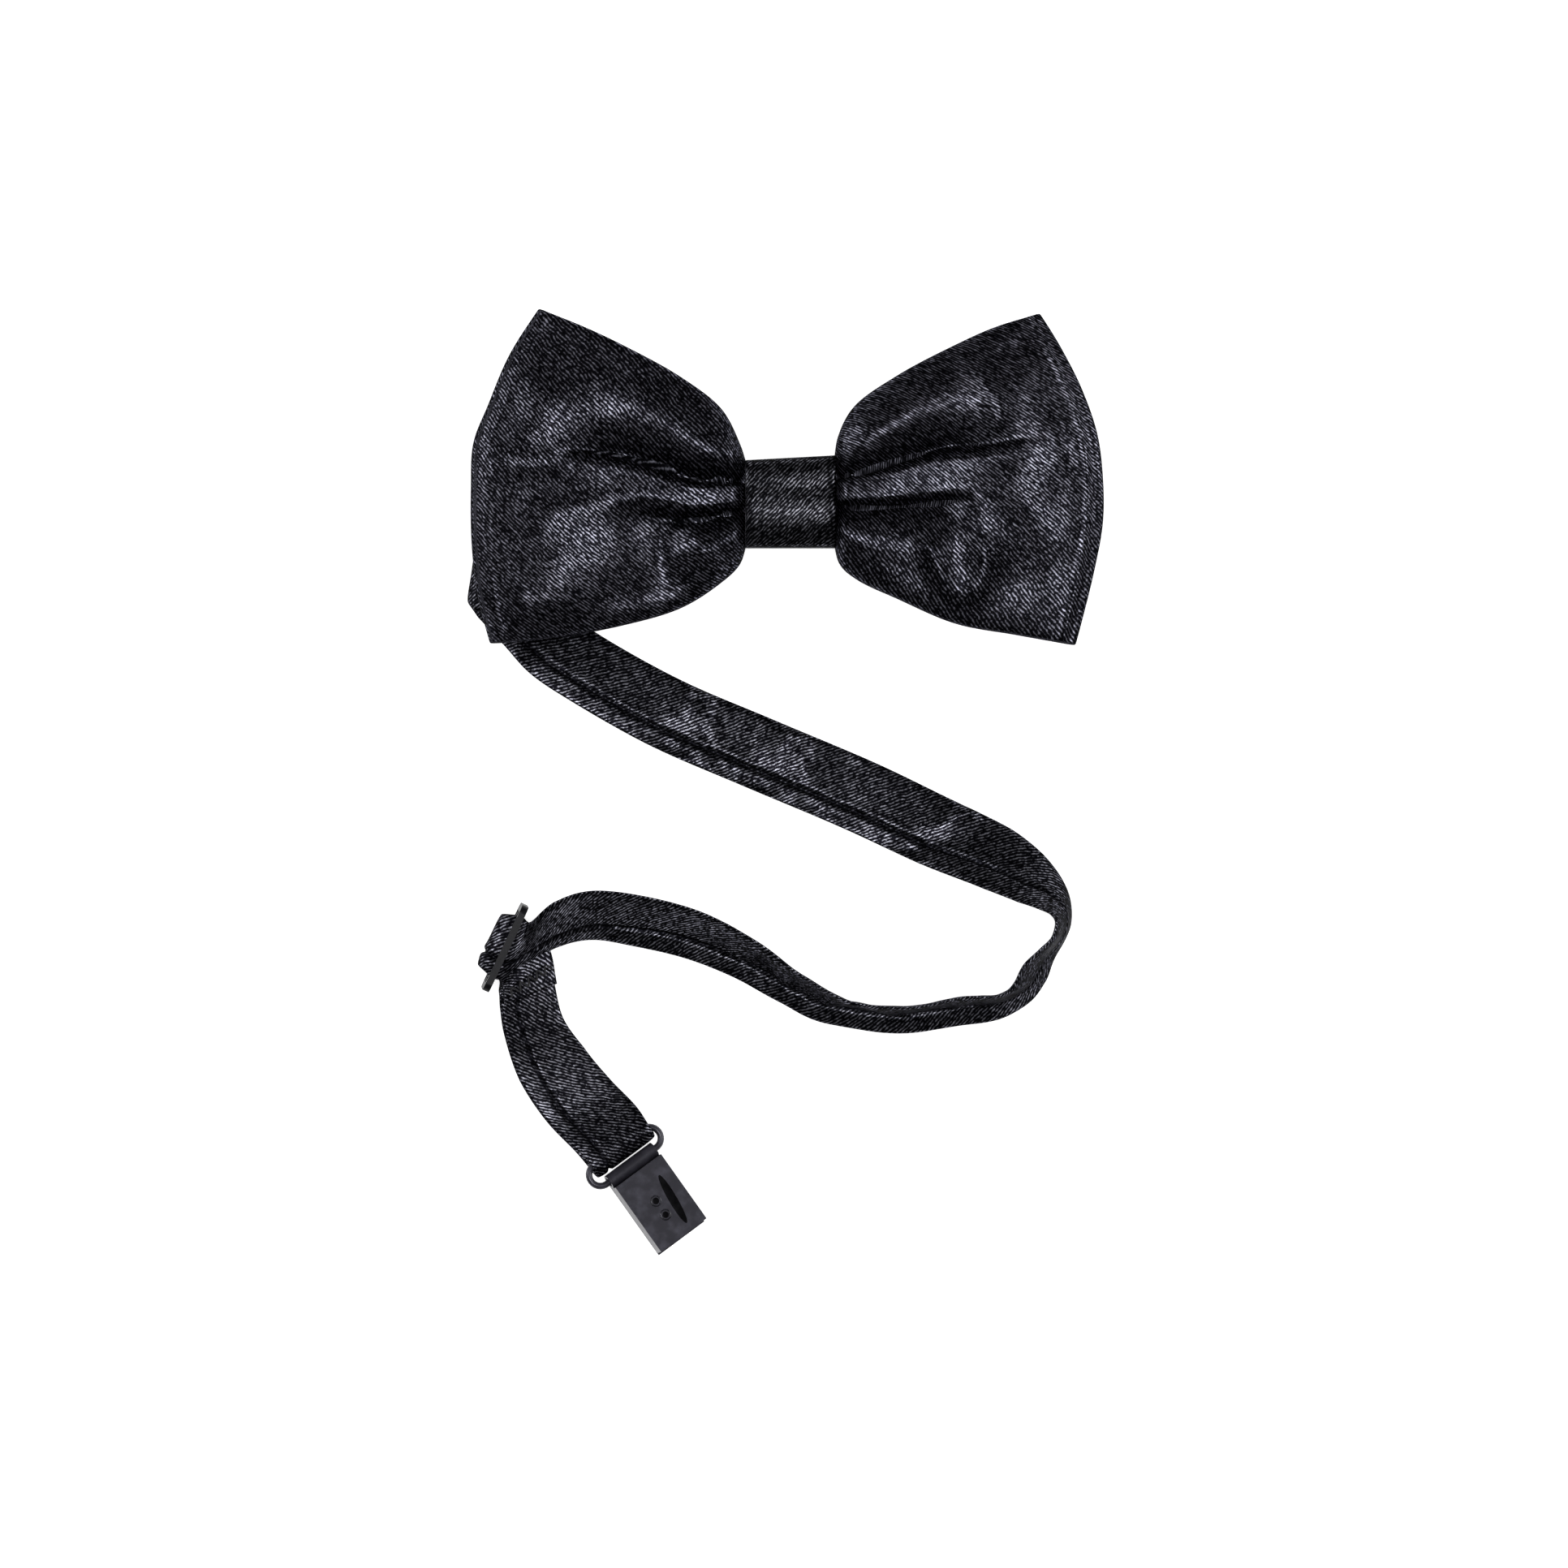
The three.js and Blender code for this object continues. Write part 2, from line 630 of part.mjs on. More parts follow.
// ---------------------------------------------------------------- rings
// A long wire ring lying flat, with the strap's bar at x = 0.
function wireRing() {
  const bend = (ringWidth - wire) / 2;
  const segments = 26;
  const geometry = new THREE.TorusGeometry(bend, wire / 2, 10, segments);
  geometry.rotateZ(Math.PI / segments); // no vertex is left on the line where it is stretched
  const position = geometry.getAttribute("position");
  for (let i = 0; i < position.count; i += 1) {
    const y = position.getY(i);
    position.setY(i, y + (Math.sign(y) * (ringLength - ringWidth)) / 2);
  }
  geometry.translate(bend, 0, 0);
  return geometry;
}
piece("clasp_ring", wireRing(), finishes.lacquer, claspFrame);
piece("tongue_ring", wireRing(), finishes.lacquer, tongueFrame);

// The tube of sheet metal rolled round a ring's bar.
const knuckle = () =>
  roundBar(knuckleOuter, knuckleLength).subtract(roundBar(knuckleBore, knuckleLength + 1));

// ---------------------------------------------------------------- clasp box
const boxFrame = frameAt("box_frame", [ringReach, 0, 0], { pitch: boxDroop }, claspFrame);
const boxFloor = -knuckleOuter;
const boxTop = boxFloor + boxHeight;
const inside = { width: boxWidth - 2 * sheet, low: boxFloor + sheet, high: boxTop - sheet };

function claspBox() {
  const half = boxWidth / 2;
  let made = block([boxStart, -half, boxFloor], [boxEnd, half, boxTop]);
  const hollow = block(
    [boxStart + sheet, -inside.width / 2, inside.low],
    [boxEnd + 1, inside.width / 2, inside.high],
  );
  made = made.subtract(hollow);
  // The sheet that runs from the box's floor into the knuckle.
  const web = block(
    [0, -knuckleLength / 2, boxFloor],
    [boxStart + sheet / 2, knuckleLength / 2, boxFloor + sheet],
  );
  made = made.add(web.subtract(roundBar(knuckleBore, knuckleLength + 1))).add(knuckle());
  // A lip along the floor at the mouth, and a turned-in edge that the leaf clicks behind.
  made = made.add(block([boxEnd - 0.2, -half, boxFloor], [boxEnd + boxLip, half, inside.low]));
  made = made.add(
    block(
      [boxEnd - sheet, -inside.width / 2 - 0.1, inside.high - 0.4],
      [boxEnd, inside.width / 2 + 0.1, inside.high + 0.1],
    ),
  );
  // Two round dimples and a long pressed hollow in the top.
  for (const x of [8.0, 11.2]) {
    const dimple = new THREE.CylinderGeometry(dimpleRadius, dimpleRadius * 0.6, 1, 20);
    dimple.rotateX(Math.PI / 2);
    dimple.translate(x, -0.6, boxTop - dimpleDepth + 0.5);
    made = made.subtract(solid(dimple));
  }
  const groove = new THREE.SphereGeometry(1, 24, 12);
  groove.scale(5.4, 0.85, 0.3);
  groove.rotateZ(-0.09);
  groove.translate(9.6, 2.3, boxTop + 0.02);
  return made.subtract(solid(groove));
}
piece("clasp_box", geometryOf(claspBox()), finishes.lacquer, boxFrame);

// ---------------------------------------------------------------- tongue
const plateFrame = frameAt("plate_frame", [ringReach, 0, 0], {}, tongueFrame);
const plateWidth = inside.width - 2 * tongueFit;
const plateLow = -knuckleOuter;
const plateTop = plateLow + tonguePlate;
const foldRadius = 0.6;
const foldX = boxStart + tongueLength;

function tonguePlateSolid() {
  let made = block([0, -plateWidth / 2, plateLow], [foldX, plateWidth / 2, plateTop]);
  made = made.subtract(roundBar(knuckleBore, plateWidth + 1)).add(knuckle());
  return made.add(roundBar(foldRadius, plateWidth, foldX, plateLow + foldRadius));
}
piece("tongue_plate", geometryOf(tonguePlateSolid()), finishes.lacquer, plateFrame);

// The leaf springs up from the fold at the tongue's tip, back towards the strap.
const leafFrame = frameAt(
  "leaf_frame",
  [foldX, 0, plateLow + foldRadius],
  { heading: 180, pitch: -leafRise },
  plateFrame,
);
function leafSolid() {
  const start = foldRadius + clearance;
  const half = plateWidth / 2 - leafInset;
  const blade = block([start, -half, 0.15], [start + leafLength, half, 0.15 + leafThickness]);
  const catchEdge = block(
    [start + leafLength - 0.6, -half, 0.2],
    [start + leafLength, half, 0.15 + leafThickness + 0.5],
  );
  return blade.add(catchEdge);
}
piece("tongue_leaf", geometryOf(leafSolid()), finishes.spring, leafFrame);

export default model;
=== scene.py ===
"""A ready-tied black satin bow tie, laid flat on a pale table with its neck strap folded below it.

The sewn pieces are drawn in millimetres and turned to metres when their meshes are made. The bow,
the knot band and the strap each carry a "cloth" attribute: how far a point lies along and across
the cloth, in millimetres, so that the weave follows the fabric round every fold. Its third value
is painted seam shade, which dims the weave's glints from 0 deep in a seam to 1 on open cloth.
"""
import json
import math

import bpy
import numpy as np
from mathutils import Euler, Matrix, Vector


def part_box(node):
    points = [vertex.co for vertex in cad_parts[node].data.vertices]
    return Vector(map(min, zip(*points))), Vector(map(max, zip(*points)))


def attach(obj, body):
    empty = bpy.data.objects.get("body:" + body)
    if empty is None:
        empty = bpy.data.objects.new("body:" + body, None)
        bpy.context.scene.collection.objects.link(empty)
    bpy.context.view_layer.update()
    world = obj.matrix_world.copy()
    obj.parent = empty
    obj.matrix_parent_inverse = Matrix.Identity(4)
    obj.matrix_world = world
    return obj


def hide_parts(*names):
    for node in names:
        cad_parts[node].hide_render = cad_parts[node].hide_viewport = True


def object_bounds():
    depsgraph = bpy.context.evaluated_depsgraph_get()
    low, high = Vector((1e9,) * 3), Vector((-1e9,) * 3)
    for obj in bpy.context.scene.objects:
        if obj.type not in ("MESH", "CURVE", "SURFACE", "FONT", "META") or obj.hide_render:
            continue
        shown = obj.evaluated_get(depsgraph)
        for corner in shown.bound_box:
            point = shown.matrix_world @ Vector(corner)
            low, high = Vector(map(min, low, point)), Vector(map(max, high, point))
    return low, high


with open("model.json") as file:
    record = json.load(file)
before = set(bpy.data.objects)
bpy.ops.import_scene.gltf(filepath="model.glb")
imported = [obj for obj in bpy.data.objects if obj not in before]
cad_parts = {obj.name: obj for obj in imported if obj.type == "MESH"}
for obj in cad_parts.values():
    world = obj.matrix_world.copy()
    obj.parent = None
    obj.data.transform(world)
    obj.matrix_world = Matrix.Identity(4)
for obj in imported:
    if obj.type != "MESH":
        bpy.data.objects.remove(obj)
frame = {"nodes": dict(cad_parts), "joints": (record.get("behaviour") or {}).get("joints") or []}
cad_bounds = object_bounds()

MM = 0.001
joints = {joint["name"]: joint for joint in frame["joints"]}


# ------------------------------------------------------------------ camera
VIEW_WIDTH = 299.15  # how much of the table the picture covers, each way
LENS = 135.0
SENSOR = 36.0

camera_data = bpy.data.cameras.new("camera")
camera_data.lens = LENS
camera_data.sensor_width = SENSOR
camera = bpy.data.objects.new("camera", camera_data)
camera.location = (0, 0, VIEW_WIDTH * MM * LENS / SENSOR)
bpy.context.scene.collection.objects.link(camera)
bpy.context.scene.camera = camera


# ------------------------------------------------------------------ curves and noise
def unit(vectors):
    """Vectors of length one, along the last axis."""
    return vectors / np.maximum(np.linalg.norm(vectors, axis=-1, keepdims=True), 1e-9)


def spline(points, shares):
    """Points on a smooth curve through the given ones, at shares of the way from 0 to 1."""
    points = np.asarray(points, float)
    padded = np.vstack([2 * points[0] - points[1], points, 2 * points[-1] - points[-2]])
    place = np.clip(np.asarray(shares, float), 0, 1) * (len(points) - 1)
    index = np.minimum(place.astype(int), len(points) - 2)
    rest = (place - index)[..., None]
    p0, p1, p2, p3 = (padded[index + i] for i in range(4))
    d0, d1, d2 = (
        np.sqrt(np.maximum(np.linalg.norm(b - a, axis=-1, keepdims=True), 1e-6))
        for a, b in ((p0, p1), (p1, p2), (p2, p3))
    )
    start = ((p1 - p0) / d0 - (p2 - p0) / (d0 + d1) + (p2 - p1) / d1) * d1
    end = ((p2 - p1) / d1 - (p3 - p1) / (d1 + d2) + (p3 - p2) / d2) * d1
    square, cube = rest**2, rest**3
    return (
        (2 * cube - 3 * square + 1) * p1
        + (cube - 2 * square + rest) * start
        + (3 * square - 2 * cube) * p2
        + (cube - square) * end
    )


def smoothstep(value, low, high):
    """0 below low, 1 above high and a smooth rise between them."""
    share = np.clip((value - low) / (high - low), 0, 1)
    return share * share * (3 - 2 * share)


def ripples(x, y, size, seed, count=7):
    """Soft uneven waves about one unit high, roughly size millimetres from crest to crest."""
    random = np.random.default_rng(seed)
    total = np.zeros(np.broadcast(x, y).shape)
    for _ in range(count):
        angle, phase = random.uniform(0, 2 * math.pi, 2)
        pitch = size * random.uniform(0.7, 1.5)
        total += np.sin((x * math.cos(angle) + y * math.sin(angle)) * 2 * math.pi / pitch + phase)
    return total / math.sqrt(count)


def across_line(x, y, line):
    """Signed distance from an open line, positive on its left, and the share along it."""
    line = np.asarray(line, float)
    best = np.full(x.shape, 1e9)
    signed = np.zeros(x.shape)
    share = np.zeros(x.shape)
    for i in range(len(line) - 1):
        start, step = line[i], line[i + 1] - line[i]
        along = ((x - start[0]) * step[0] + (y - start[1]) * step[1]) / (step @ step)
        held = np.clip(along, 0, 1)
        dx, dy = x - start[0] - held * step[0], y - start[1] - held * step[1]
        far = np.hypot(dx, dy)
        near = far < best
        side = np.sign(step[0] * (y - start[1]) - step[1] * (x - start[0]))
        best = np.where(near, far, best)
        signed = np.where(near, far * side, signed)
        share = np.where(near, (i + held) / (len(line) - 1), share)
    return signed, share


def groove(x, y, line, depth, upper, lower, fade):
    """A pleat's valley along a line. Each side rises over its own width, given at the line's
    start and at its end, and the valley fades out from a share of the way along."""
    fine = spline(line, np.linspace(0, 1, 40))
    signed, share = across_line(x, y, fine)
    if line[-1][0] < line[0][0]:
        signed = -signed
    above = upper[0] + (upper[1] - upper[0]) * share**0.7
    below = lower[0] + (lower[1] - lower[0]) * share**0.7
    far = np.clip(np.abs(signed) / np.where(signed > 0, above, below), 0, 1)
    return -depth * (1 - np.sin(math.pi / 2 * far)) * (1 - smoothstep(share, fade, 1.0))


def ridge(x, y, line, height, width):
    """A soft crest along a line, or a soft trough where height is below nought."""
    signed, share = across_line(x, y, spline(line, np.linspace(0, 1, 24)))
    ends = smoothstep(share, 0, 0.2) * (1 - smoothstep(share, 0.8, 1))
    return height * np.exp(-((signed / width) ** 2)) * ends


def swell(x, y, middle, long, wide, bearing, height):
    """A soft oval rise, or a dent where height is below nought."""
    turn = math.radians(bearing)
    dx, dy = x - middle[0], y - middle[1]
    along = (dx * math.cos(turn) + dy * math.sin(turn)) / long
    over = (dy * math.cos(turn) - dx * math.sin(turn)) / wide
    return height * np.exp(-(along**2 + over**2))


# ------------------------------------------------------------------ meshes
def cloth_object(name, grid, cloth, closed_rows, material):
    """A smooth mesh from a grid of points in millimetres. Its columns always close into a loop,
    and its rows too where closed_rows says so; otherwise its two ends are capped."""
    rows, columns = grid.shape[:2]
    index = np.arange(rows * columns).reshape(rows, columns)
    after = np.roll(index, -1, axis=1)
    faces = []
    for row in range(rows if closed_rows else rows - 1):
        below = (row + 1) % rows
        faces.extend(zip(index[row], after[row], after[below], index[below]))
    if not closed_rows:
        for row, flip in ((0, True), (rows - 1, False)):
            for i in range(columns // 2 - 1):
                corners = [index[row, i], index[row, i + 1]]
                corners += [index[row, columns - 2 - i], index[row, columns - 1 - i]]
                faces.append(tuple(reversed(corners)) if flip else tuple(corners))
    mesh = bpy.data.meshes.new(name)
    mesh.from_pydata((grid.reshape(-1, 3) * MM).tolist(), [], [tuple(map(int, f)) for f in faces])
    mesh.attributes.new("cloth", "FLOAT_VECTOR", "POINT")
    flat = np.ones((rows * columns, 3), np.float32)
    flat[:, : cloth.shape[2]] = cloth.reshape(rows * columns, -1)
    mesh.attributes["cloth"].data.foreach_set("vector", flat.ravel())
    mesh.shade_smooth()
    mesh.materials.append(material)
    if signed_volume(mesh) < 0:
        mesh.flip_normals()
    made = bpy.data.objects.new(name, mesh)
    bpy.context.scene.collection.objects.link(made)
    return made


def signed_volume(mesh):
    """The volume inside a closed mesh, below nought where its faces point in."""
    points = np.empty(len(mesh.vertices) * 3)
    mesh.vertices.foreach_get("co", points)
    points = points.reshape(-1, 3)
    mesh.calc_loop_triangles()
    corners = np.empty(len(mesh.loop_triangles) * 3, int)
    mesh.loop_triangles.foreach_get("vertices", corners)
    a, b, c = (points[corners.reshape(-1, 3)[:, i]] for i in range(3))
    return float(np.einsum("ij,ij->i", a, np.cross(b, c)).sum())


# ------------------------------------------------------------------ materials
def linear(code):
    """An sRGB hex colour as the linear values that shaders use."""
    parts = [int(code[i : i + 2], 16) / 255 for i in (1, 3, 5)]
    return [p / 12.92 if p <= 0.04045 else ((p + 0.055) / 1.055) ** 2.4 for p in parts] + [1.0]


def node(tree, kind, inputs=None, **settings):
    """Adds a node with its settings, and gives its sockets values or links."""
    made = tree.nodes.new(kind)
    for key, value in settings.items():
        setattr(made, key, value)
    for key, value in (inputs or {}).items():
        if isinstance(value, bpy.types.NodeSocket):
            tree.links.new(value, made.inputs[key])
        else:
            made.inputs[key].default_value = value
    return made


def surface(name):
    """A material with an empty principled shader: its tree and that shader."""
    made = bpy.data.materials.new(name)
    made.use_nodes = True
    made.node_tree.nodes.clear()
    shader = node(made.node_tree, "ShaderNodeBsdfPrincipled")
    node(made.node_tree, "ShaderNodeOutputMaterial", {"Surface": shader.outputs["BSDF"]})
    return made, made.node_tree, shader


TWILL_PITCH = 0.58  # millimetres between the weave's diagonal lines, drawn a little coarse to show
FLOAT_LENGTH = 0.9  # millimetres that a thread floats over its neighbours, drawn coarse as well


def woven_satin(name, shade, glint, lean=1.0):
    """Polyester satin, warp-faced and calendered: near-black, with fine slanting lines of thread
    floats that glitter where the cloth faces the light and go flat black where it turns away."""
    made, tree, shader = surface(name)
    cloth = node(tree, "ShaderNodeAttribute", attribute_name="cloth").outputs["Vector"]
    stray = node(tree, "ShaderNodeTexNoise", {"Vector": cloth, "Scale": 0.35, "Detail": 3.0})
    strayed = node(
        tree, "ShaderNodeVectorMath",
        {0: stray.outputs["Color"], 1: (0.8, 0.8, 0.0), 2: cloth},
        operation="MULTIPLY_ADD",
    )
    slanted = node(
        tree, "ShaderNodeMapping",
        {
            "Vector": strayed.outputs["Vector"],
            "Rotation": (0.0, 0.0, lean * math.radians(45)),
        },
    )
    split = node(tree, "ShaderNodeSeparateXYZ", {"Vector": slanted.outputs["Vector"]})
    # The cloth attribute's third value is painted seam shade: 0 deep in a seam, 1 on open cloth.
    painted_seam_shade = node(tree, "ShaderNodeSeparateXYZ", {"Vector": cloth})
    turns = node(
        tree, "ShaderNodeMath", {0: split.outputs["Y"], 1: 2 * math.pi / TWILL_PITCH},
        operation="MULTIPLY",
    )
    wave = node(tree, "ShaderNodeMath", {0: turns.outputs[0]}, operation="SINE")
    stretched = node(
        tree, "ShaderNodeVectorMath",
        {0: slanted.outputs["Vector"], 1: (1 / FLOAT_LENGTH, 1 / TWILL_PITCH, 1.0)},
        operation="MULTIPLY",
    )
    floats = node(
        tree, "ShaderNodeTexNoise",
        {"Vector": stretched.outputs["Vector"], "Scale": 1.35, "Detail": 1.5},
    )
    height = node(
        tree, "ShaderNodeMath", {0: wave.outputs[0], 1: 0.20, 2: floats.outputs["Fac"]},
        operation="MULTIPLY_ADD",
    )
    tone = node(
        tree, "ShaderNodeMapRange",
        {"Value": height.outputs[0], "From Min": 0.49, "From Max": 0.98},
        interpolation_type="SMOOTHSTEP",
    )
    # Painted seam shade: the glints' tone is dimmed where the cloth's third value drops.
    shown = node(
        tree, "ShaderNodeMath", {0: tone.outputs[0], 1: painted_seam_shade.outputs["Z"]}, operation="MULTIPLY"
    )
    colour = node(
        tree, "ShaderNodeMix",
        {"Factor": shown.outputs[0], 6: linear(shade), 7: linear(glint)}, data_type="RGBA",
    )
    patches = node(tree, "ShaderNodeTexNoise", {"Vector": cloth, "Scale": 0.16, "Detail": 4.0})
    rough = node(
        tree, "ShaderNodeMapRange",
        {"Value": patches.outputs["Fac"], "From Min": 0.3, "From Max": 0.7,
         "To Min": 0.30, "To Max": 0.40},
    )
    bump = node(
        tree, "ShaderNodeBump",
        {"Height": height.outputs[0], "Strength": 1.0, "Distance": 0.04 * MM},
    )
    tree.links.new(colour.outputs[2], shader.inputs["Base Color"])
    tree.links.new(rough.outputs[0], shader.inputs["Roughness"])
    tree.links.new(bump.outputs[0], shader.inputs["Normal"])
    shader.inputs["Metallic"].default_value = 0.9
    shader.inputs["Specular IOR Level"].default_value = 0.15
    shader.inputs["Specular Tint"].default_value = linear("#505056")
    return made


RUB_SIZE = 2.2  # millimetres from one rubbed patch of lacquer to the next
PEEL_SIZE = 0.35  # millimetres from bump to bump of the lacquer's orange peel
TWIST_PITCH = 0.8  # millimetres between a thread's twists, drawn coarser than the real 0.3 to show
FIBRE_SIZE = 0.4  # millimetres across a fleck of the interlining's fibres


def baked_lacquer(name, body, worn, roughness, shine=0.4):
    """Stamped steel with a baked black lacquer: a smooth dark glossy coat with faint orange peel,
    a little greyer and duller where it has rubbed. Shine says how strong its reflection is."""
    made, tree, shader = surface(name)
    place = node(tree, "ShaderNodeTexCoord").outputs["Object"]
    rub = node(
        tree, "ShaderNodeTexNoise", {"Vector": place, "Scale": 1 / (RUB_SIZE * MM), "Detail": 5.0}
    )
    tone = node(
        tree, "ShaderNodeMapRange",
        {"Value": rub.outputs["Fac"], "From Min": 0.45, "From Max": 0.75},
    )
    colour = node(
        tree, "ShaderNodeMix",
        {"Factor": tone.outputs[0], 6: linear(body), 7: linear(worn)}, data_type="RGBA",
    )
    dull = node(
        tree, "ShaderNodeMapRange",
        {"Value": rub.outputs["Fac"], "To Min": roughness * 0.8, "To Max": roughness * 1.4},
    )
    peel = node(
        tree, "ShaderNodeTexNoise", {"Vector": place, "Scale": 1 / (PEEL_SIZE * MM), "Detail": 2.0}
    )
    bump = node(
        tree, "ShaderNodeBump",
        {"Height": peel.outputs["Fac"], "Strength": 0.12, "Distance": 0.02 * MM},
    )
    tree.links.new(colour.outputs[2], shader.inputs["Base Color"])
    tree.links.new(dull.outputs[0], shader.inputs["Roughness"])
    tree.links.new(bump.outputs[0], shader.inputs["Normal"])
    shader.inputs["Metallic"].default_value = 0.45
    shader.inputs["Specular IOR Level"].default_value = shine
    shader.inputs["Coat Weight"].default_value = shine / 2
    shader.inputs["Coat Roughness"].default_value = 0.2
    return made


def spun_thread(name, dark, pale):
    """Twisted polyester sewing thread: matt, with a fine slanting twist."""
    made, tree, shader = surface(name)
    place = node(tree, "ShaderNodeTexCoord").outputs["Object"]
    bands = 2 * math.pi / (10 * math.sqrt(3))  # the scale that repeats diagonal bands each unit
    twist = node(
        tree, "ShaderNodeTexWave",
        {"Vector": place, "Scale": bands / (TWIST_PITCH * MM), "Distortion": 1.5},
        bands_direction="DIAGONAL",
    )
    colour = node(
        tree, "ShaderNodeMix",
        {"Factor": twist.outputs["Fac"], 6: linear(dark), 7: linear(pale)}, data_type="RGBA",
    )
    bump = node(
        tree, "ShaderNodeBump",
        {"Height": twist.outputs["Fac"], "Strength": 0.6, "Distance": 0.05 * MM},
    )
    tree.links.new(colour.outputs[2], shader.inputs["Base Color"])
    tree.links.new(bump.outputs[0], shader.inputs["Normal"])
    shader.inputs["Roughness"].default_value = 0.7
    return made


def bonded_fleece(name, pale, dark):
    """Non-woven interlining, bonded fibres: matt grey with a soft random fleck."""
    made, tree, shader = surface(name)
    place = node(tree, "ShaderNodeTexCoord").outputs["Object"]
    fibres = node(
        tree, "ShaderNodeTexNoise", {"Vector": place, "Scale": 1 / (FIBRE_SIZE * MM), "Detail": 6.0}
    )
    colour = node(
        tree, "ShaderNodeMix",
        {"Factor": fibres.outputs["Fac"], 6: linear(dark), 7: linear(pale)}, data_type="RGBA",
    )
    bump = node(
        tree, "ShaderNodeBump",
        {"Height": fibres.outputs["Fac"], "Strength": 0.5, "Distance": 0.1 * MM},
    )
    tree.links.new(colour.outputs[2], shader.inputs["Base Color"])
    tree.links.new(bump.outputs[0], shader.inputs["Normal"])
    shader.inputs["Roughness"].default_value = 0.95
    return made


bow_satin = woven_satin("bow_satin_woven", "#0e0e12", "#9292a0")
band_satin = woven_satin("band_satin_woven", "#0b0b0e", "#808088")
strap_satin = woven_satin("strap_satin_woven", "#0c0c10", "#9999a4", lean=-1.0)
black_thread = spun_thread("thread_polyester_spun", "#0c0c0e", "#1d1d21")
fleece = bonded_fleece("interlining_bonded_fleece", "#9a9a9c", "#6c6c70")
lacquer = baked_lacquer("steel_lacquered_black", "#323139", "#45444e", 0.34)
slider_lacquer = baked_lacquer("steel_lacquered_gloss_black", "#0f0f12", "#1c1c21", 0.46, 0.12)
# The rim beads are real and glossy, but their lacquer is darker than the box's: painted shade for the
# dimples' dark outlines.
rim_shade_lacquer = baked_lacquer("steel_lacquered_rim_painted_shade", "#24242a", "#45454e", 0.22)
# Painted shade: a near-black lacquer for the lenses that fill the clasp's dimples and hollow.
painted_shade_lacquer = baked_lacquer("steel_lacquered_painted_shade", "#050507", "#101013", 0.3, 0.08)
spring_steel = baked_lacquer("spring_steel_lacquered", "#2c2c31", "#4a4a50", 0.3)


# ------------------------------------------------------------------ knot and waist sizes
band_low, band_high = (np.array(corner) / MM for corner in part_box("knot_band"))
knot_x, knot_y, _ = (band_low + band_high) / 2
knot_width, knot_height, knot_depth = band_high - band_low
BAND_THICKNESS = 1.0
CLOTH_THICKNESS = 0.8  # one layer of the bow, two plies of satin
WAIST_HALF_HEIGHT = 6.7
WAIST_HALF_DEPTH = 3.2
WAIST_MIDDLE = 6.6  # height of the pinched waist's middle
EDGE_MIDDLE = 8.2  # height of the wings' outer edges
LAYER_GAP = 0.6  # from the bow's middle out to each layer, round the interlining


# ------------------------------------------------------------------ bow
WAIST_TOP = knot_y + WAIST_HALF_HEIGHT
WAIST_BOTTOM = knot_y - WAIST_HALF_HEIGHT
LEFT_WING = {
    "top": [
        (-7.0, WAIST_TOP + 0.4), (-8.3, 64.4), (-11.8, 71.0), (-19.5, 77.0),
        (-30.7, 83.1), (-38.1, 86.5), (-46.6, 89.8),
    ],
    "bottom": [
        (-7.0, WAIST_BOTTOM - 0.9), (-8.4, 41.6), (-12.1, 38.1), (-19.5, 33.5),
        (-30.7, 30.2), (-43.0, 28.0), (-56.2, 26.8),
    ],
    "outer": [
        (-56.2, 26.8), (-58.2, 35.8), (-59.2, 45.2), (-59.3, 56.0),
        (-58.8, 64.5), (-56.0, 71.6), (-52.0, 81.0), (-46.6, 89.8),
    ],
}
RIGHT_WING = {
    "top": [
        (9.4, WAIST_TOP + 0.6), (10.2, 65.8), (13.2, 71.4), (21.4, 77.3),
        (32.5, 83.1), (40.0, 86.4), (48.6, 88.9),
    ],
    "bottom": [
        (9.4, WAIST_BOTTOM - 0.9), (10.6, 41.6), (13.9, 38.8), (21.4, 35.3),
        (32.5, 30.6), (44.0, 28.5), (55.6, 26.5),
    ],
    "outer": [
        (55.6, 26.5), (59.0, 41.0), (60.4, 49.5), (60.4, 57.0),
        (59.3, 66.0), (56.2, 74.9), (52.3, 82.6), (48.6, 88.9),
    ],
}
RIM_SHARE = 0.985  # where the wing's face ends and its outer fold begins
WAIST_SHARE = 0.06  # how much of the way to a wing's edge the waist takes
WING_LENGTH = 62  # out from the waist to a wing's edge
RIM_AT_WAIST = 0.8  # half the bow's thickness along its top and bottom edges
RIM_AT_WING = 1.3
FRONT_PUFF = 5.7
BACK_PUFF = 1.9


def wing_plan(wing, out, up):
    """Where a wing's cloth lies in plan: out from the waist and up the wing, 0 to 1 each."""
    top, bottom = spline(wing["top"], out), spline(wing["bottom"], out)
    straight = bottom + (top - bottom) * up[..., None]
    ends = np.array([wing["bottom"][-1], wing["top"][-1]])
    chord = ends[0] + (ends[1] - ends[0]) * up[..., None]
    return straight + (spline(wing["outer"], up) - chord) * out[..., None] ** 2


def wing_middle(out):
    """The height halfway between a wing's front and its back."""
    return WAIST_MIDDLE + (EDGE_MIDDLE - WAIST_MIDDLE) * smoothstep(out, 0, 0.7)


def puff(out, up, full):
    """How far a face of the wing stands off its rim: a broad flat middle that rounds off towards
    the top and bottom, and more sharply towards the outer fold."""
    over = (1 - np.abs(2 * up - 1) ** 2.3) ** 0.68
    along = full * (1 - out**7) ** 0.7 * (0.86 + 0.14 * np.sin(math.pi * np.minimum(1, out * 1.6)))
    start = WAIST_HALF_DEPTH - 0.8
    return (start + (along - start) * smoothstep(out, 0, 0.24)) * over


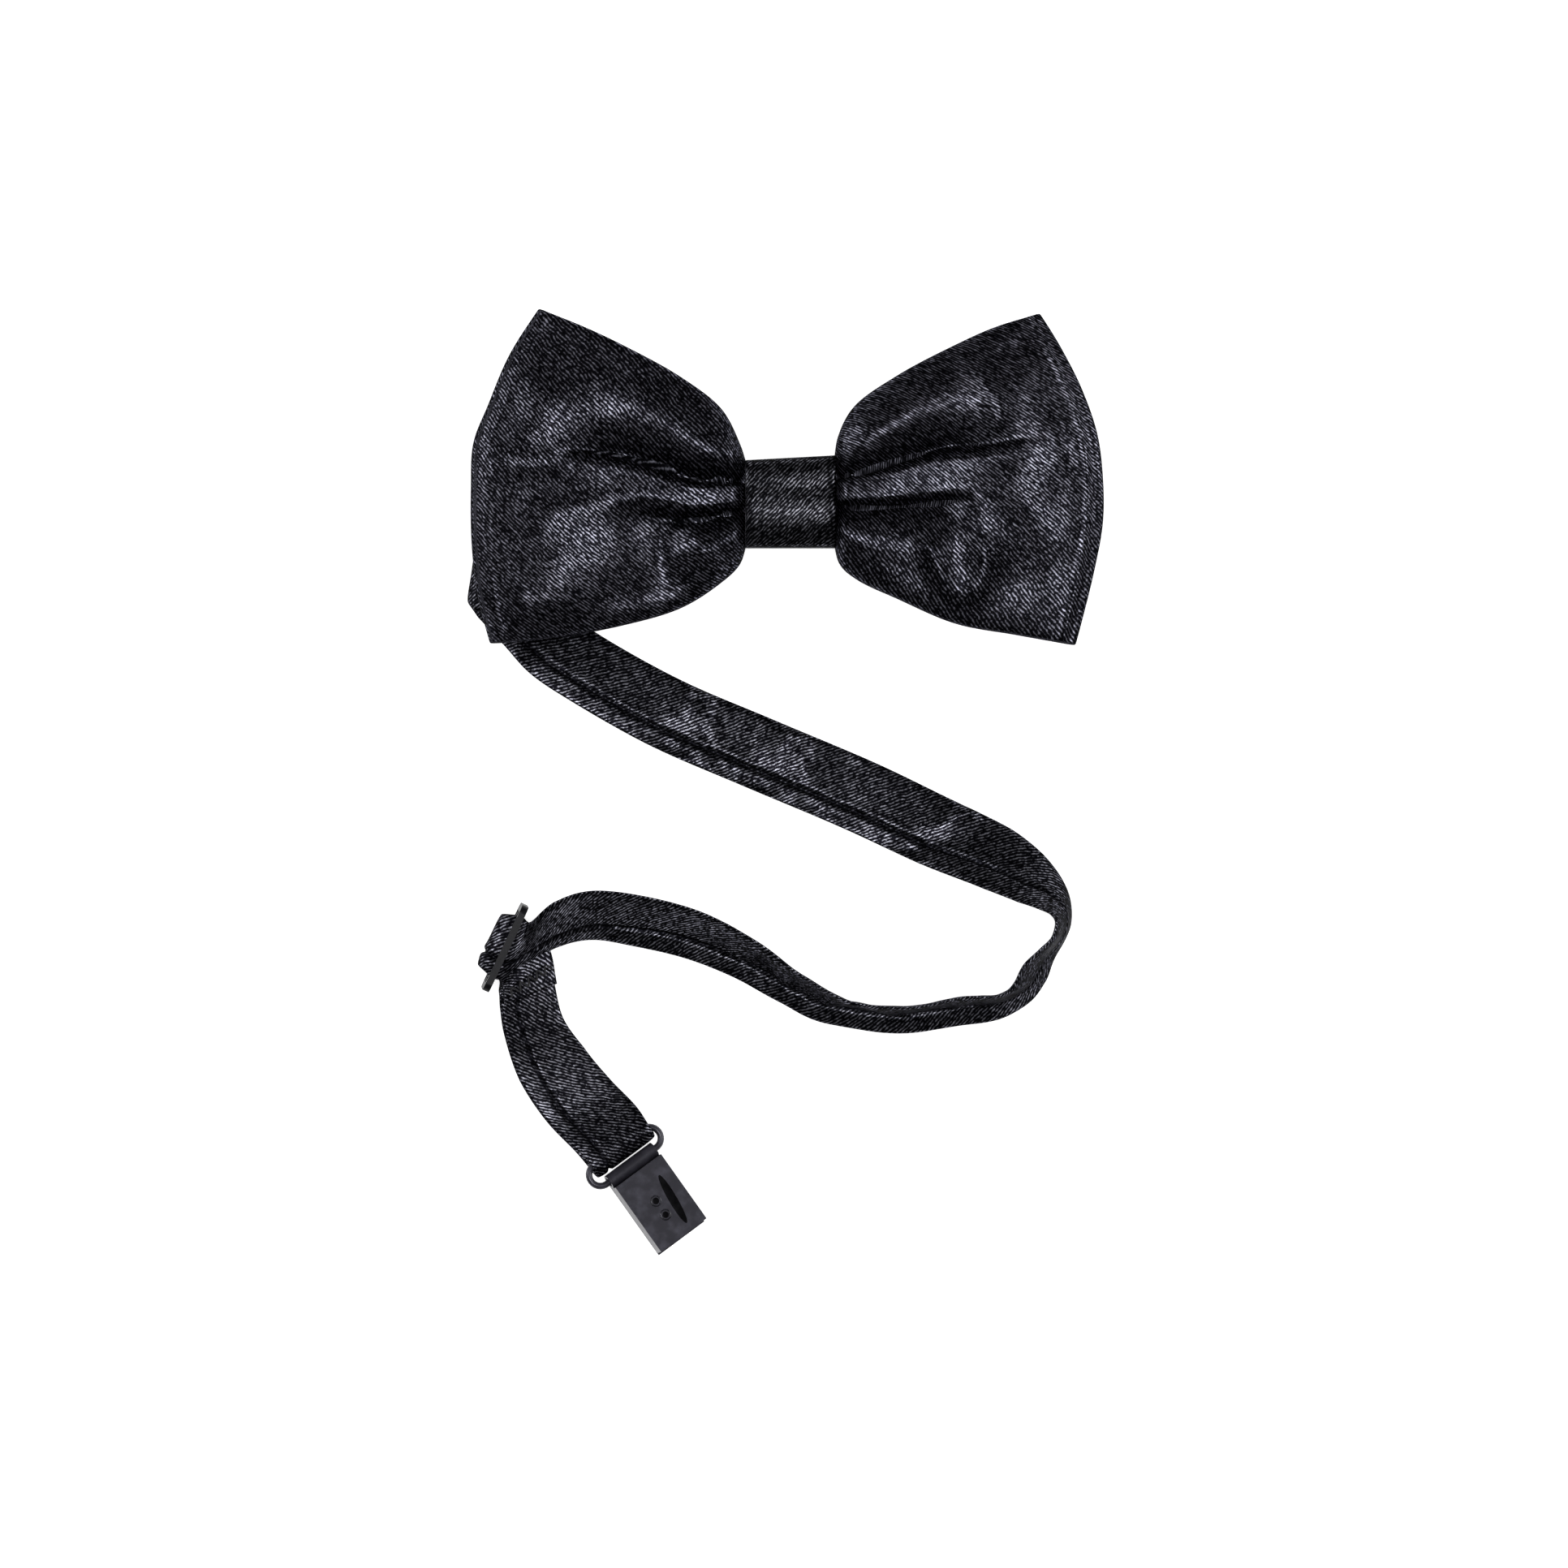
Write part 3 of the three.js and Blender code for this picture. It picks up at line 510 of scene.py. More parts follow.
def left_front_folds(x, y):
    """The pleats and swells of the left wing's front, in plan."""
    upper = [
        (-6.3, 57.0), (-17.2, 57.6), (-23.7, 59.8), (-30.7, 62.1), (-36.9, 62.9), (-45, 63.6),
    ]
    lower = [(-6.8, 52.2), (-12.9, 50.6), (-19.4, 49.9), (-26.3, 50.9), (-34, 52)]
    total = groove(x, y, upper, 5.4, (4.5, 15), (1.0, 3.0), 0.60)
    total += groove(x, y, lower, 4.2, (1.2, 4.0), (4.0, 10), 0.45)
    total += swell(x, y, (-23.5, 43.5), 8, 4.5, 100, -2.6)
    total += ridge(x, y, [(-19, 51), (-15.5, 45), (-11.5, 38)], 1.2, 2.4)
    total += ridge(x, y, [(-50, 50), (-38, 52), (-26, 53.5), (-16, 54)], 0.7, 3.0)
    total += swell(x, y, (-42, 40), 9, 7, 65, 0.9)
    total += swell(x, y, (-49, 32), 8, 6, 10, 1.0)
    total += swell(x, y, (-47, 70), 8, 5, 60, 0.8)
    total += swell(x, y, (-30, 80), 14, 5, -32, -0.9)
    total += ridge(x, y, [(-58, 61), (-48, 60.5), (-38, 61)], -0.9, 3.0)
    total += ridge(x, y, [(-56.5, 48), (-53, 40), (-48, 33)], 0.5, 1.8)
    total += ridge(x, y, [(-6.5, 44), (-11, 38.5), (-18, 34.5)], 0.8, 2.2)
    total += swell(x, y, (-30, 34), 9, 3.5, -20, -0.6)
    return total + 0.20 * ripples(x, y, 15, 3) + 0.022 * ripples(x, y, 5, 4)


def right_front_folds(x, y):
    """The pleats and swells of the right wing's front, in plan."""
    upper = [(9.4, 57.6), (15.5, 59.0), (22.0, 61.2), (30.7, 63.6), (39.3, 64.3), (52, 66.5)]
    lower = [(9.4, 52.6), (17.7, 52.2), (29.9, 53.1), (38, 54)]
    total = groove(x, y, upper, 4.4, (4.0, 11), (1.0, 3), 0.55)
    total += groove(x, y, lower, 4.4, (1.2, 2.5), (5.0, 13), 0.55)
    total += swell(x, y, (45.7, 52.8), 5, 3.4, -40, -1.1)
    total += ridge(x, y, [(30, 84), (36.4, 77.1), (40, 72), (40, 65)], 0.8, 2.4)
    total += swell(x, y, (24, 40), 8, 4.5, 100, -0.9)
    total += ridge(x, y, [(27, 47), (28.8, 41), (32, 32.8)], 0.9, 1.9)
    total += ridge(x, y, [(32, 32.8), (37.6, 38.6), (37.8, 48)], 0.9, 1.9)
    total += swell(x, y, (33.4, 42.5), 4, 2.6, 90, -0.5)
    total += swell(x, y, (22, 78), 13, 4, 32, -0.7)
    total += swell(x, y, (11.8, 63), 4, 2.0, 70, -1.6)
    total += ridge(x, y, [(48, 70), (54, 61), (58, 52)], 0.6, 2.4)
    total += swell(x, y, (46, 60), 6, 3, 70, -0.5)
    total += swell(x, y, (40, 57), 8, 3, 10, -0.6)
    total += swell(x, y, (24, 72), 10, 5, 40, 0.6)
    total += swell(x, y, (50, 42), 8, 5, 80, -0.6)
    return total + 0.20 * ripples(x, y, 15, 5) + 0.022 * ripples(x, y, 5, 6)


def back_folds(x, y):
    """The shallower pleats on the back of both wings."""
    total = np.zeros(x.shape)
    for side in (-1, 1):
        for height, far in ((3.0, 9.0), (-3.0, -8.0)):
            line = [
                (knot_x + side * 7, knot_y + height * 0.8),
                (knot_x + side * 18, knot_y + height),
                (knot_x + side * 34, knot_y + far),
            ]
            total += groove(x, y, line, 1.5, (2, 4), (2, 4), 0.3)
    return total + 0.12 * ripples(x, y, 12, 8)


def bow_face(shares, up, front, folded_in):
    """One face of the bow over both wings. Each share runs from -1, the left wing's outer edge,
    to 1, the right wing's; the waist lies between -WAIST_SHARE and WAIST_SHARE. The pleats are
    left out where folded_in is 0."""
    out = np.clip((np.abs(shares) - WAIST_SHARE) / (1 - WAIST_SHARE), 0, 1) * RIM_SHARE
    out, up = np.broadcast_arrays(out[:, None], up[None, :])
    left, right = wing_plan(LEFT_WING, out, up), wing_plan(RIGHT_WING, out, up)
    through = np.clip(shares / WAIST_SHARE, -1, 1)[:, None, None] * 0.5 + 0.5
    plan = left + (right - left) * through
    x, y = plan[..., 0], plan[..., 1]
    rim = RIM_AT_WAIST + (RIM_AT_WING - RIM_AT_WAIST) * np.minimum(1, out * 4)
    near_rim = smoothstep(np.minimum(np.minimum(up, 1 - up) * 9, (RIM_SHARE - out) * 9), 0, 1)
    folded = smoothstep(out, 0.0, 0.04) * near_rim * folded_in
    if front:
        folds = np.where(shares[:, None] < 0, left_front_folds(x, y), right_front_folds(x, y))
        height = rim + puff(out, up, FRONT_PUFF) + folds * folded
        height += edge_crease(out, shares[:, None])
        lowest = LAYER_GAP + CLOTH_THICKNESS / 2
        height = lowest + np.logaddexp(0, (height - lowest) * 5) / 5
        z = wing_middle(out) + height
    else:
        height = rim + puff(out, up, BACK_PUFF) + np.minimum(back_folds(x, y) * folded, 0.4)
        z = wing_middle(out) - np.maximum(height, LAYER_GAP + CLOTH_THICKNESS / 2)
    return np.dstack([x, y, z])


def edge_crease(out, share):
    """The pressed line just inside each wing's outer fold, sharper on the right wing."""
    far = (RIM_SHARE - out) * WING_LENGTH
    line = np.exp(-(((far - 1.5) / 0.55) ** 2)) * 0.5 - np.exp(-(((far - 0.5) / 0.6) ** 2)) * 0.3
    return line * np.where(share > 0, 1.0, 0.45)



def outer_fold(front_edge, back_edge, inside, count):
    """The round fold that joins the front to the back along a wing's outer edge."""
    outward = unit((front_edge - inside) * np.array([1, 1, 0]))
    middle = (front_edge + back_edge) / 2
    radius = np.linalg.norm(front_edge - back_edge, axis=1, keepdims=True) / 2
    up = unit(front_edge - back_edge)
    turns = np.linspace(0, math.pi, count + 2)[1:-1]
    return np.stack([
        middle + radius * (math.cos(turn) * up + math.sin(turn) * 0.8 * outward) for turn in turns
    ])


def thick_loop(outer, thickness, inner_columns):
    """A closed loop of cloth with rounded edges, from the loop's outer face. Rows run round the
    loop and columns across the cloth."""
    along = np.roll(outer, -1, axis=0) - np.roll(outer, 1, axis=0)
    across = np.gradient(outer, axis=1)
    facing = unit(np.cross(along, across))
    for _ in range(4):
        facing = unit(facing + np.roll(facing, 1, axis=0) + np.roll(facing, -1, axis=0))
    inner = outer - facing * thickness
    edges = []
    for column, way in ((-1, 1), (0, -1)):
        middle = (outer[:, column] + inner[:, column]) / 2
        outward = unit(across[:, column]) * way
        turns = [0.25, 0.5, 0.75] if way > 0 else [0.75, 0.5, 0.25]
        edges.append(np.stack([
            middle + thickness / 2 * (
                math.cos(turn * math.pi) * facing[:, column]
                + math.sin(turn * math.pi) * outward
            )
            for turn in turns
        ], axis=1))
    return np.concatenate([outer, edges[0], inner[:, inner_columns][:, ::-1], edges[1]], axis=1)


def cloth_lengths(grid):
    """How far each point lies along and across the cloth, measured over the surface."""
    along = np.linalg.norm(np.diff(grid, axis=0), axis=2)
    along = np.vstack([np.zeros(grid.shape[1]), np.cumsum(along, axis=0)])
    across = np.linalg.norm(np.diff(grid, axis=1), axis=2)
    across = np.hstack([np.zeros((grid.shape[0], 1)), np.cumsum(across, axis=1)])
    middle = grid.shape[1] // 4
    return np.dstack([along - along[len(along) // 4], across - across[:, middle : middle + 1]])


def bow_grid(front_shares, back_shares, up, folded_in):
    """The whole bow as one closed loop of cloth: front, right fold, back and left fold."""
    front = bow_face(front_shares, up, True, folded_in)
    back = bow_face(back_shares, up, False, folded_in)
    right_fold = outer_fold(front[-1], back[0], front[-4], 7)
    left_fold = outer_fold(front[0], back[-1], front[3], 7)[::-1]
    outer = np.concatenate([front, right_fold, back, left_fold])
    return thick_loop(outer, CLOTH_THICKNESS, np.linspace(0, len(up) - 1, 26).astype(int))


def make_bow():
    """The bow: its weave is measured before the pleats go in, so that it follows the cloth."""
    wing = np.linspace(0, 1, 150) ** 0.9 * (1 - WAIST_SHARE) + WAIST_SHARE
    waist = np.linspace(-WAIST_SHARE, WAIST_SHARE, 12)[1:-1]
    front_shares = np.concatenate([-wing[::-1], waist, wing])
    back_wing = wing[::3]
    back_shares = np.concatenate([back_wing[::-1], waist[::-1], -back_wing])
    up = (1 - np.cos(np.linspace(0, math.pi, 170))) / 2 * 0.35 + np.linspace(0, 1, 170) * 0.65
    grid = bow_grid(front_shares, back_shares, up, 1.0)
    cloth = cloth_lengths(bow_grid(front_shares, back_shares, up, 0.0))
    bow = cloth_object("bow", grid, cloth, True, bow_satin)
    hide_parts("bow_loop")
    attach(bow, "bow_and_strap")
    return bow


# ------------------------------------------------------------------ knot band
def make_band():
    """The band round the waist: soft creases run round it, and its two ends meet at the back."""
    around, over = 220, 44
    turn = np.linspace(0, 2 * math.pi, around, endpoint=False)[:, None] + math.pi * 1.5
    width = np.linspace(-1, 1, over)[None, :]
    front = smoothstep(np.sin(turn), -0.4, 0.7)
    power = 0.42 + 0.16 * front
    lift, side = np.sin(turn), np.cos(turn)
    tilt = 0.45 * width * smoothstep(side, 0.2, 1)
    y = knot_y + np.sign(side) * np.abs(side) ** power * (knot_height / 2 - 0.25) + tilt
    z = knot_depth / 2 + np.sign(lift) * np.abs(lift) ** (power + 0.05) * (knot_depth / 2 - 0.2)
    x = knot_x + width * (knot_width / 2) + 0 * turn
    creases = 0.28 * np.cos((y - knot_y + 1.6) * 0.57 + 0.15 * np.sin(x * 0.3)) * front
    creases += 0.035 * ripples(x * 0.25, y, 3.6, 21) * front
    edge_roll = -0.45 * np.abs(width) ** 14
    z = z + (creases + edge_roll) * front * np.maximum(lift, 0)
    outer = np.dstack([np.broadcast_to(x, z.shape), np.broadcast_to(y, z.shape), z])
    cut = np.roll(outer, 1, axis=0)
    grid = thick_loop(cut, BAND_THICKNESS * 0.85, np.linspace(0, over - 1, 14).astype(int))
    band = cloth_object("knot_band_satin", grid, cloth_lengths(grid), True, band_satin)
    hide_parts("knot_band")
    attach(band, "bow_and_strap")
    return band


# ------------------------------------------------------------------ neck strap
STRAP_WIDTH = 14.2
STRAP_THICKNESS = 1.0
GATHERED_WIDTH = 12.6
LAYER_PITCH = 1.3
RING_FOLD_RADIUS = 1.45
INNER_FOLD_RADIUS = 1.685
OUTER_FOLD_RADIUS = 2.985


def turned(heading, roll, pitch):
    """A piece of hardware's own directions: away from the strap, along its bar, and up."""
    angles = [math.radians(a) for a in (roll, pitch, heading)]
    return np.array(Euler(angles, "XYZ").to_matrix())


CLASP = {"at": joints["clasp_ring_swing"]["pos_m"], "ways": turned(-54.2, -16, 0)}
TONGUE = {"at": joints["tongue_ring_swing"]["pos_m"], "ways": turned(0, 0, 0)}
SLIDER = {"at": joints["slider_rock"]["pos_m"], "ways": turned(154.7, 0, -5)}


def station(x, y, bearing, lean=0, height=None, width=STRAP_WIDTH):
    """A place on the strap: its middle, and half of the strap's width towards its second edge."""
    turn, tip = math.radians(bearing), math.radians(lean)
    across = np.array([
        math.cos(turn) * math.cos(tip), math.sin(turn) * math.cos(tip), -math.sin(tip),
    ])
    if height is None:
        height = STRAP_WIDTH / 2 * math.sin(abs(tip)) + STRAP_THICKNESS / 2 * math.cos(tip)
    return np.array([x, y, height]), across * width / 2


def raised(place, distance):
    """A place on the strap one or more layers above another."""
    middle, half = place
    across = unit(half)
    up = unit(np.array([0, 0, 1]) - across * across[2])
    return middle + up * distance, half


def beside_bar(hardware, side, x, z, width=STRAP_WIDTH):
    """A place on the strap beside a piece of hardware's bar, in that piece's own directions."""
    ways = hardware["ways"]
    middle = np.array(hardware["at"]) / MM + ways @ np.array([x, 0, z])
    return middle, ways @ np.array([0, side, 0]) * width / 2


def round_the_bar(hardware, side, radius, width, bulge=1.0, pinch=0.0):
    """Round a bar in half a turn: bulge stretches the fold outwards, and pinch narrows it."""
    return [
        beside_bar(
            hardware, side, radius * bulge * math.sin(t), -radius * math.cos(t),
            width * (1 - pinch * math.sin(t)),
        )
        for t in (math.radians(turn) for turn in range(0, 181, 30))
    ]


BEHIND_THE_BOW = [
    (19, 53.8, 90, 0, 1.2), (11.5, 53.3, 90, 0, 1.8), (1, 53.3, 90, 0, 1.8),
    (-9.5, 53.3, 92, 0, 1.85), (-21, 51.0, 99, 0, 2.1), (-34, 46.6, 104, 0, 2.6),
    (-46, 42.6, 102, 0, 3.4), (-53, 40.4, 94, 0, 4.1),
]
LONG_RUN = [
    (-51, 33.0, 68, 6, None, 13.4), (-44.5, 26.8, 61, 16), (-37.8, 22.3, 61, 16), (-22.6, 13.8, 63, 13),
    (-5, 6.2, 65, 11), (14.6, -2.1, 64, 11), (29, -8.9, 62, 15), (40.9, -14.2, 62, 28),
    (46.8, -17.7, 59, 43), (50.4, -20.6, 48, 58), (52.5, -23.3, 32, 70), (53.0, -26.2, 2, 77),
    (52.0, -29.3, -18, 78), (49.8, -32.2, -34, 73), (47.4, -35.6, -38, 67),
    (44.8, -39.2, -45, 68), (41.0, -41.5, -68, 70), (34.0, -42.2, -86, 69),
    (22.3, -43.9, -92, 69), (9, -41.9, -102, 66), (1, -37.8, -112, 61), (-6, -33.4, -113, 54),
    (-17, -28.4, -103, 47), (-28.5, -25.7, -93, 46), (-37, -25.0, -86, 49, 5.9),
    (-43.2, -26.8, -86, 50, 7.0, 13.4),
]
DOUBLED_RUN = [
    (-50.0, -35.6, -138, -24, None, 12.6), (-49.2, -40.4, -158, -24, None, 11.6),
    (-48.0, -46.2, -161, -20, None, 11.8), (-44.4, -53.6, -153, -12, None, 13.8),
    (-39.4, -60.4, -149, -11, None, 14.6),
]
FOLD_HEIGHT = 3.8  # between the layers where the strap doubles back behind the left wing


def folded_over(turn):
    """A place round the fold behind the left wing, from its top layer to its bottom one."""
    angle = math.radians(turn)
    height = STRAP_THICKNESS / 2 + FOLD_HEIGHT / 2 * (1 + math.cos(angle))
    x = -57.4 - FOLD_HEIGHT / 2 * math.sin(angle)
    y = 39.4 - turn * 0.006
    return station(x, y + 0.4 * math.sin(angle), 82, 0, height, 13.0 - 3.4 * math.sin(angle))


def strap_route():
    """The strap's places from its short end, behind the right wing, to its tacked end."""
    doubled = [station(*place) for place in DOUBLED_RUN]
    return [
        beside_bar(TONGUE, 1, -12.5, LAYER_PITCH - RING_FOLD_RADIUS),
        beside_bar(TONGUE, 1, -8, LAYER_PITCH - RING_FOLD_RADIUS),
        beside_bar(TONGUE, 1, -4, 0.75),
        *round_the_bar(TONGUE, 1, RING_FOLD_RADIUS, GATHERED_WIDTH)[::-1],
        beside_bar(TONGUE, 1, -4, -RING_FOLD_RADIUS),
        *[station(*place) for place in BEHIND_THE_BOW],
        *[folded_over(turn) for turn in range(0, 181, 45)],
        *[station(*place) for place in LONG_RUN],
        beside_bar(SLIDER, 1, -1.6, OUTER_FOLD_RADIUS - 0.35, 12.0),
        *round_the_bar(SLIDER, 1, OUTER_FOLD_RADIUS, 12.6, 1.02, 0.14)[::-1],
        beside_bar(SLIDER, 1, -1.4, 0.35 - OUTER_FOLD_RADIUS, 12.4),
        *doubled,
        beside_bar(CLASP, -1, -4, -RING_FOLD_RADIUS, 14.3),
        *round_the_bar(CLASP, -1, RING_FOLD_RADIUS, 13.7, 1.58),
        beside_bar(CLASP, -1, -4, LAYER_PITCH - RING_FOLD_RADIUS + 0.9, 14.3),
        *[raised(place, LAYER_PITCH) for place in doubled[::-1]],
        beside_bar(SLIDER, 1, -1.4, -INNER_FOLD_RADIUS, 12.2),
        *round_the_bar(SLIDER, 1, INNER_FOLD_RADIUS, 11.2, 1.0, 0.2),
        beside_bar(SLIDER, 1, -1.4, INNER_FOLD_RADIUS, 11.6),
        raised(doubled[0], 2 * LAYER_PITCH + 0.2),
        raised(doubled[1], 2 * LAYER_PITCH),
    ]


STRAP_STEP = 0.45  # between the mesh's rows along the strap
COLUMNS = 48  # points across each face of the strap
STITCH_PITCH = 3.1  # between the puckers that the seam's stitches draw
CRUMPLED_FROM, CRUMPLED_TO = 235, 320  # along the strap, where it waves from side to side
TIGHT_LENGTH = 104  # of the strap, from its tacked end, that is pressed thin between layers
UNDERSIDE_START = 40  # where the cloth of the strap's underside starts, clear of its face's


def strap_line():
    """Even steps along the strap: how far each is from the short end, its middle, the direction
    that the strap's face looks in, and half of the width towards its second edge."""
    middles, halves = (np.array(part) for part in zip(*strap_route()))
    fine = np.linspace(0, 1, 6000)
    fine_line = spline(middles, fine)
    lengths = np.concatenate([[0], np.cumsum(np.linalg.norm(np.diff(fine_line, axis=0), axis=1))])
    total = lengths[-1]
    along = np.linspace(0, total, int(total / STRAP_STEP))
    share = np.interp(along, lengths, fine)
    middle, half = spline(middles, share), spline(halves, share)
    crumpled = smoothstep(along, CRUMPLED_FROM, CRUMPLED_FROM + 15)
    crumpled *= 1 - smoothstep(along, CRUMPLED_TO - 20, CRUMPLED_TO)
    swing = 0.035 * crumpled * ripples(along, 0 * along, 15, 41)
    tangent = unit(np.gradient(middle, axis=0))
    facing = unit(np.cross(tangent, half))
    half = half * np.cos(swing)[:, None]
    half += facing * (np.linalg.norm(half, axis=1) * np.sin(swing))[:, None]
    return along, middle, unit(np.cross(tangent, half)), half


def make_strap():
    """The strap: a flattened satin tube with a seam along it, creased where it has been folded."""
    along, middle, facing, half = strap_line()
    total = along[-1]
    width = np.linalg.norm(half, axis=1, keepdims=True)
    across = unit(half)

    # Across the strap: from the first edge to the second, closer together at the edges.
    points = np.sin(np.linspace(-math.pi / 2, math.pi / 2, COLUMNS)) * 0.6
    points += np.linspace(-1, 1, COLUMNS) * 0.4
    sideways = points[None, :] * width
    seam_share = np.interp(along, *seam_places(along, middle))
    distance = sideways - seam_share[:, None] * width
    tight_from = total - TIGHT_LENGTH
    pressed = 1 - 0.24 * smoothstep(along, tight_from - 8, tight_from)[:, None]
    pucker = 1 + 0.35 * np.sin(along * 2 * math.pi / STITCH_PITCH)[:, None]
    seam = -0.5 * np.exp(-((distance / 0.36) ** 2)) * pucker
    seam += 0.08 * np.exp(-(((np.abs(distance) - 1.1) / 0.55) ** 2)) * (pressed * 4 - 3)
    body = STRAP_THICKNESS / 2 * np.sqrt(np.clip(1 - np.abs(points) ** 7, 0, 1)) * pressed
    wrinkle = strap_creases(along, sideways, middle)
    free = smoothstep(along, 30, 45)[:, None] * smoothstep(total - along, 100, 118)[:, None]
    inside = 1 - points[None, :] ** 8
    top = body + (seam + wrinkle * free) * inside
    bottom = -body + wrinkle * free * inside
    run, rise, bend = bent_section(sideways, lower_fold(along, middle))
    base = middle[:, None, :] + across[:, None, :] * run[..., None]
    base = base + facing[:, None, :] * rise[..., None]
    normal = facing[:, None, :] * np.cos(bend)[..., None]
    normal = normal - across[:, None, :] * np.sin(bend)[..., None]
    upper = base + normal * top[..., None]
    lower = base + normal * bottom[..., None]
    grid = np.concatenate([upper, lower[:, ::-1][:, 1:-1]], axis=1)
    # Painted seam shade: the glints fade to a twentieth in the seam's groove and stay full on open
    # cloth.
    seam_shade_mask = 1 - 0.95 * np.exp(-((distance / 0.55) ** 2))
    cloth = np.dstack([
        np.broadcast_to(along[:, None], grid.shape[:2]),
        np.concatenate([sideways, UNDERSIDE_START - sideways[:, ::-1][:, 1:-1]], axis=1),
        np.concatenate([seam_shade_mask, seam_shade_mask[:, ::-1][:, 1:-1]], axis=1),
    ])
    strap = cloth_object("strap", grid, cloth, False, strap_satin)
    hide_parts("neck_strap")
    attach(strap, "bow_and_strap")
    return strap


BEHIND_LENGTH = 60  # of the strap, from its short end, that the bow hides
SINGLE_SHARE = 0.72  # of the strap, from its short end, that isn't doubled


def nearest_place(along, middle, x, y):
    """How far along the strap its open single run passes nearest to a place in plan."""
    single = int(len(along) * SINGLE_SHARE)
    gap = np.hypot(middle[:single, 0] - x, middle[:single, 1] - y)
    return along[np.argmin(gap + 1000 * (along[:single] < BEHIND_LENGTH))]


def lower_fold(along, middle):
    """How far the strap is creased along its length, in radians: the stretch that stands on edge
    flares out along its lower side."""
    flares = [
        (49.8, -32.2, 0), (34, -42.2, 56), (1, -37.8, 50), (-17, -28.4, 40), (-30, -25.6, 24),
        (-37, -25, 0),
    ]
    places = [(nearest_place(along, middle, x, y), turn) for x, y, turn in flares]
    turns = np.interp(along, *np.array([(0, 0), *places, (along[-1], 0)]).T)
    even = np.ones(41) / 41
    return np.radians(np.convolve(np.pad(turns, 20, mode="edge"), even, mode="valid"))


def bent_section(sideways, bend):
    """The strap's section where it is creased along its length: how far each point lies across
    and up, and how far its surface is turned. The section's middle stays where it is."""
    crease = 2.8
    turn = bend[:, None] * (smoothstep(sideways, crease - 0.9, crease + 0.9) * 1.28 - 0.28)
    steps = np.diff(sideways, axis=1)
    halfway = (turn[:, 1:] + turn[:, :-1]) / 2
    start = sideways[:, :1]
    run = np.hstack([start, start + np.cumsum(np.cos(halfway) * steps, axis=1)])
    rise = np.hstack([0 * start, np.cumsum(np.sin(halfway) * steps, axis=1)])
    centre = sideways.shape[1] // 2
    return run - run[:, centre : centre + 1], rise - rise.mean(axis=1, keepdims=True), turn


def seam_places(along, middle):
    """Where the seam lies across the strap, from -1 at its first edge to 1 at its second: low on
    the upper run, moving over at the turn, and nearer the edge by the clasp's ring."""
    seams = [
        (29, -8.9, -0.46), (46.8, -17.7, -0.3), (52, -29, 0.25), (22, -44, 0.42), (-6, -33, 0.44),
    ]
    places = [(nearest_place(along, middle, x, y), share) for x, y, share in seams]
    ring = along[np.argmin(np.hypot(*(middle - np.array(CLASP["at"]) / MM)[:, :2].T))]
    places += [(ring - 32, 0.44), (ring, 0.62), (ring + 32, 0.46), (along[-1], 0.42)]
    return np.array([(0, -0.46), *places]).T


def strap_creases(along, sideways, middle):
    """Slanting creases where the strap was folded in its packet, and a soft overall ripple."""
    far = along[:, None]
    total = 0.07 * ripples(far, sideways * 1.3, 17, 31) + 0.03 * ripples(far, sideways, 5, 32)
    for x, y, slant, height, length, level in STRAP_CREASES:
        offset = far - nearest_place(along, middle, x, y) - sideways * slant
        total = total + height * np.exp(-((offset / length) ** 2))
        total = total + level * sideways * np.exp(-((offset / (length * 1.3)) ** 2))
    return total


# Middle of each crease in plan, its slant, its height, how long it is along the strap, and how
# much it takes the strap's sideways tilt away.
STRAP_CREASES = [
    (-19.0, 12.4, 0.1, 0.3, 2.6, 0.27), (-14.0, 9.9, -0.9, 0.2, 1.4, 0.14),
    (-1.4, 4.8, 0.1, 0.3, 2.8, 0.25), (4.0, 2.4, -0.6, 0.2, 1.4, 0.14),
    (12, -1.0, -0.3, -0.3, 3.5, 0.0), (29, -9.0, 0.6, 0.3, 2.2, 0.25),
    (-8, -32.6, 0.5, 0.45, 2.4, 0.0), (-1, -36.5, -0.4, 0.5, 2.0, 0.0),
    (9, -42.0, 0.6, 0.35, 2.0, 0.0), (20, -44.3, -0.5, 0.4, 2.2, 0.0),
    (33, -42.3, 0.4, 0.4, 2.0, 0.0), (46, -37.5, -0.4, 0.45, 1.8, 0.0),
]


# ------------------------------------------------------------------ hardware
def shading_nodes():
    """A modifier's nodes that only turn smooth shading on."""
    tree = bpy.data.node_groups.new("smooth_shading", "GeometryNodeTree")
    for way in ("INPUT", "OUTPUT"):
        tree.interface.new_socket("Geometry", in_out=way, socket_type="NodeSocketGeometry")
    start = node(tree, "NodeGroupInput").outputs["Geometry"]
    smooth = node(tree, "GeometryNodeSetShadeSmooth", {"Geometry": start})
    node(tree, "NodeGroupOutput", {"Geometry": smooth.outputs["Geometry"]})
    return tree


def finish_hardware(name, material, bevel):
    """Gives a metal piece rounded edges and its finish."""
    piece = frame["nodes"][name]
    piece.data.materials.clear()
    piece.data.materials.append(material)
    weld = piece.modifiers.new("weld", "WELD")
    weld.merge_threshold = 0.001 * MM
    smooth = piece.modifiers.new("smooth", "NODES")
    smooth.node_group = smooth_shading
    if bevel:
        flat = piece.modifiers.new("flat", "DECIMATE")
        flat.decimate_type = "DISSOLVE"
        flat.angle_limit = math.radians(1)
        edges = piece.modifiers.new("edges", "BEVEL")
        edges.width = bevel * MM
        edges.segments = 2
        edges.limit_method = "ANGLE"
        edges.angle_limit = math.radians(35)
    normals = piece.modifiers.new("normals", "WEIGHTED_NORMAL")
    normals.keep_sharp = True
    normals.weight = 50
    return piece


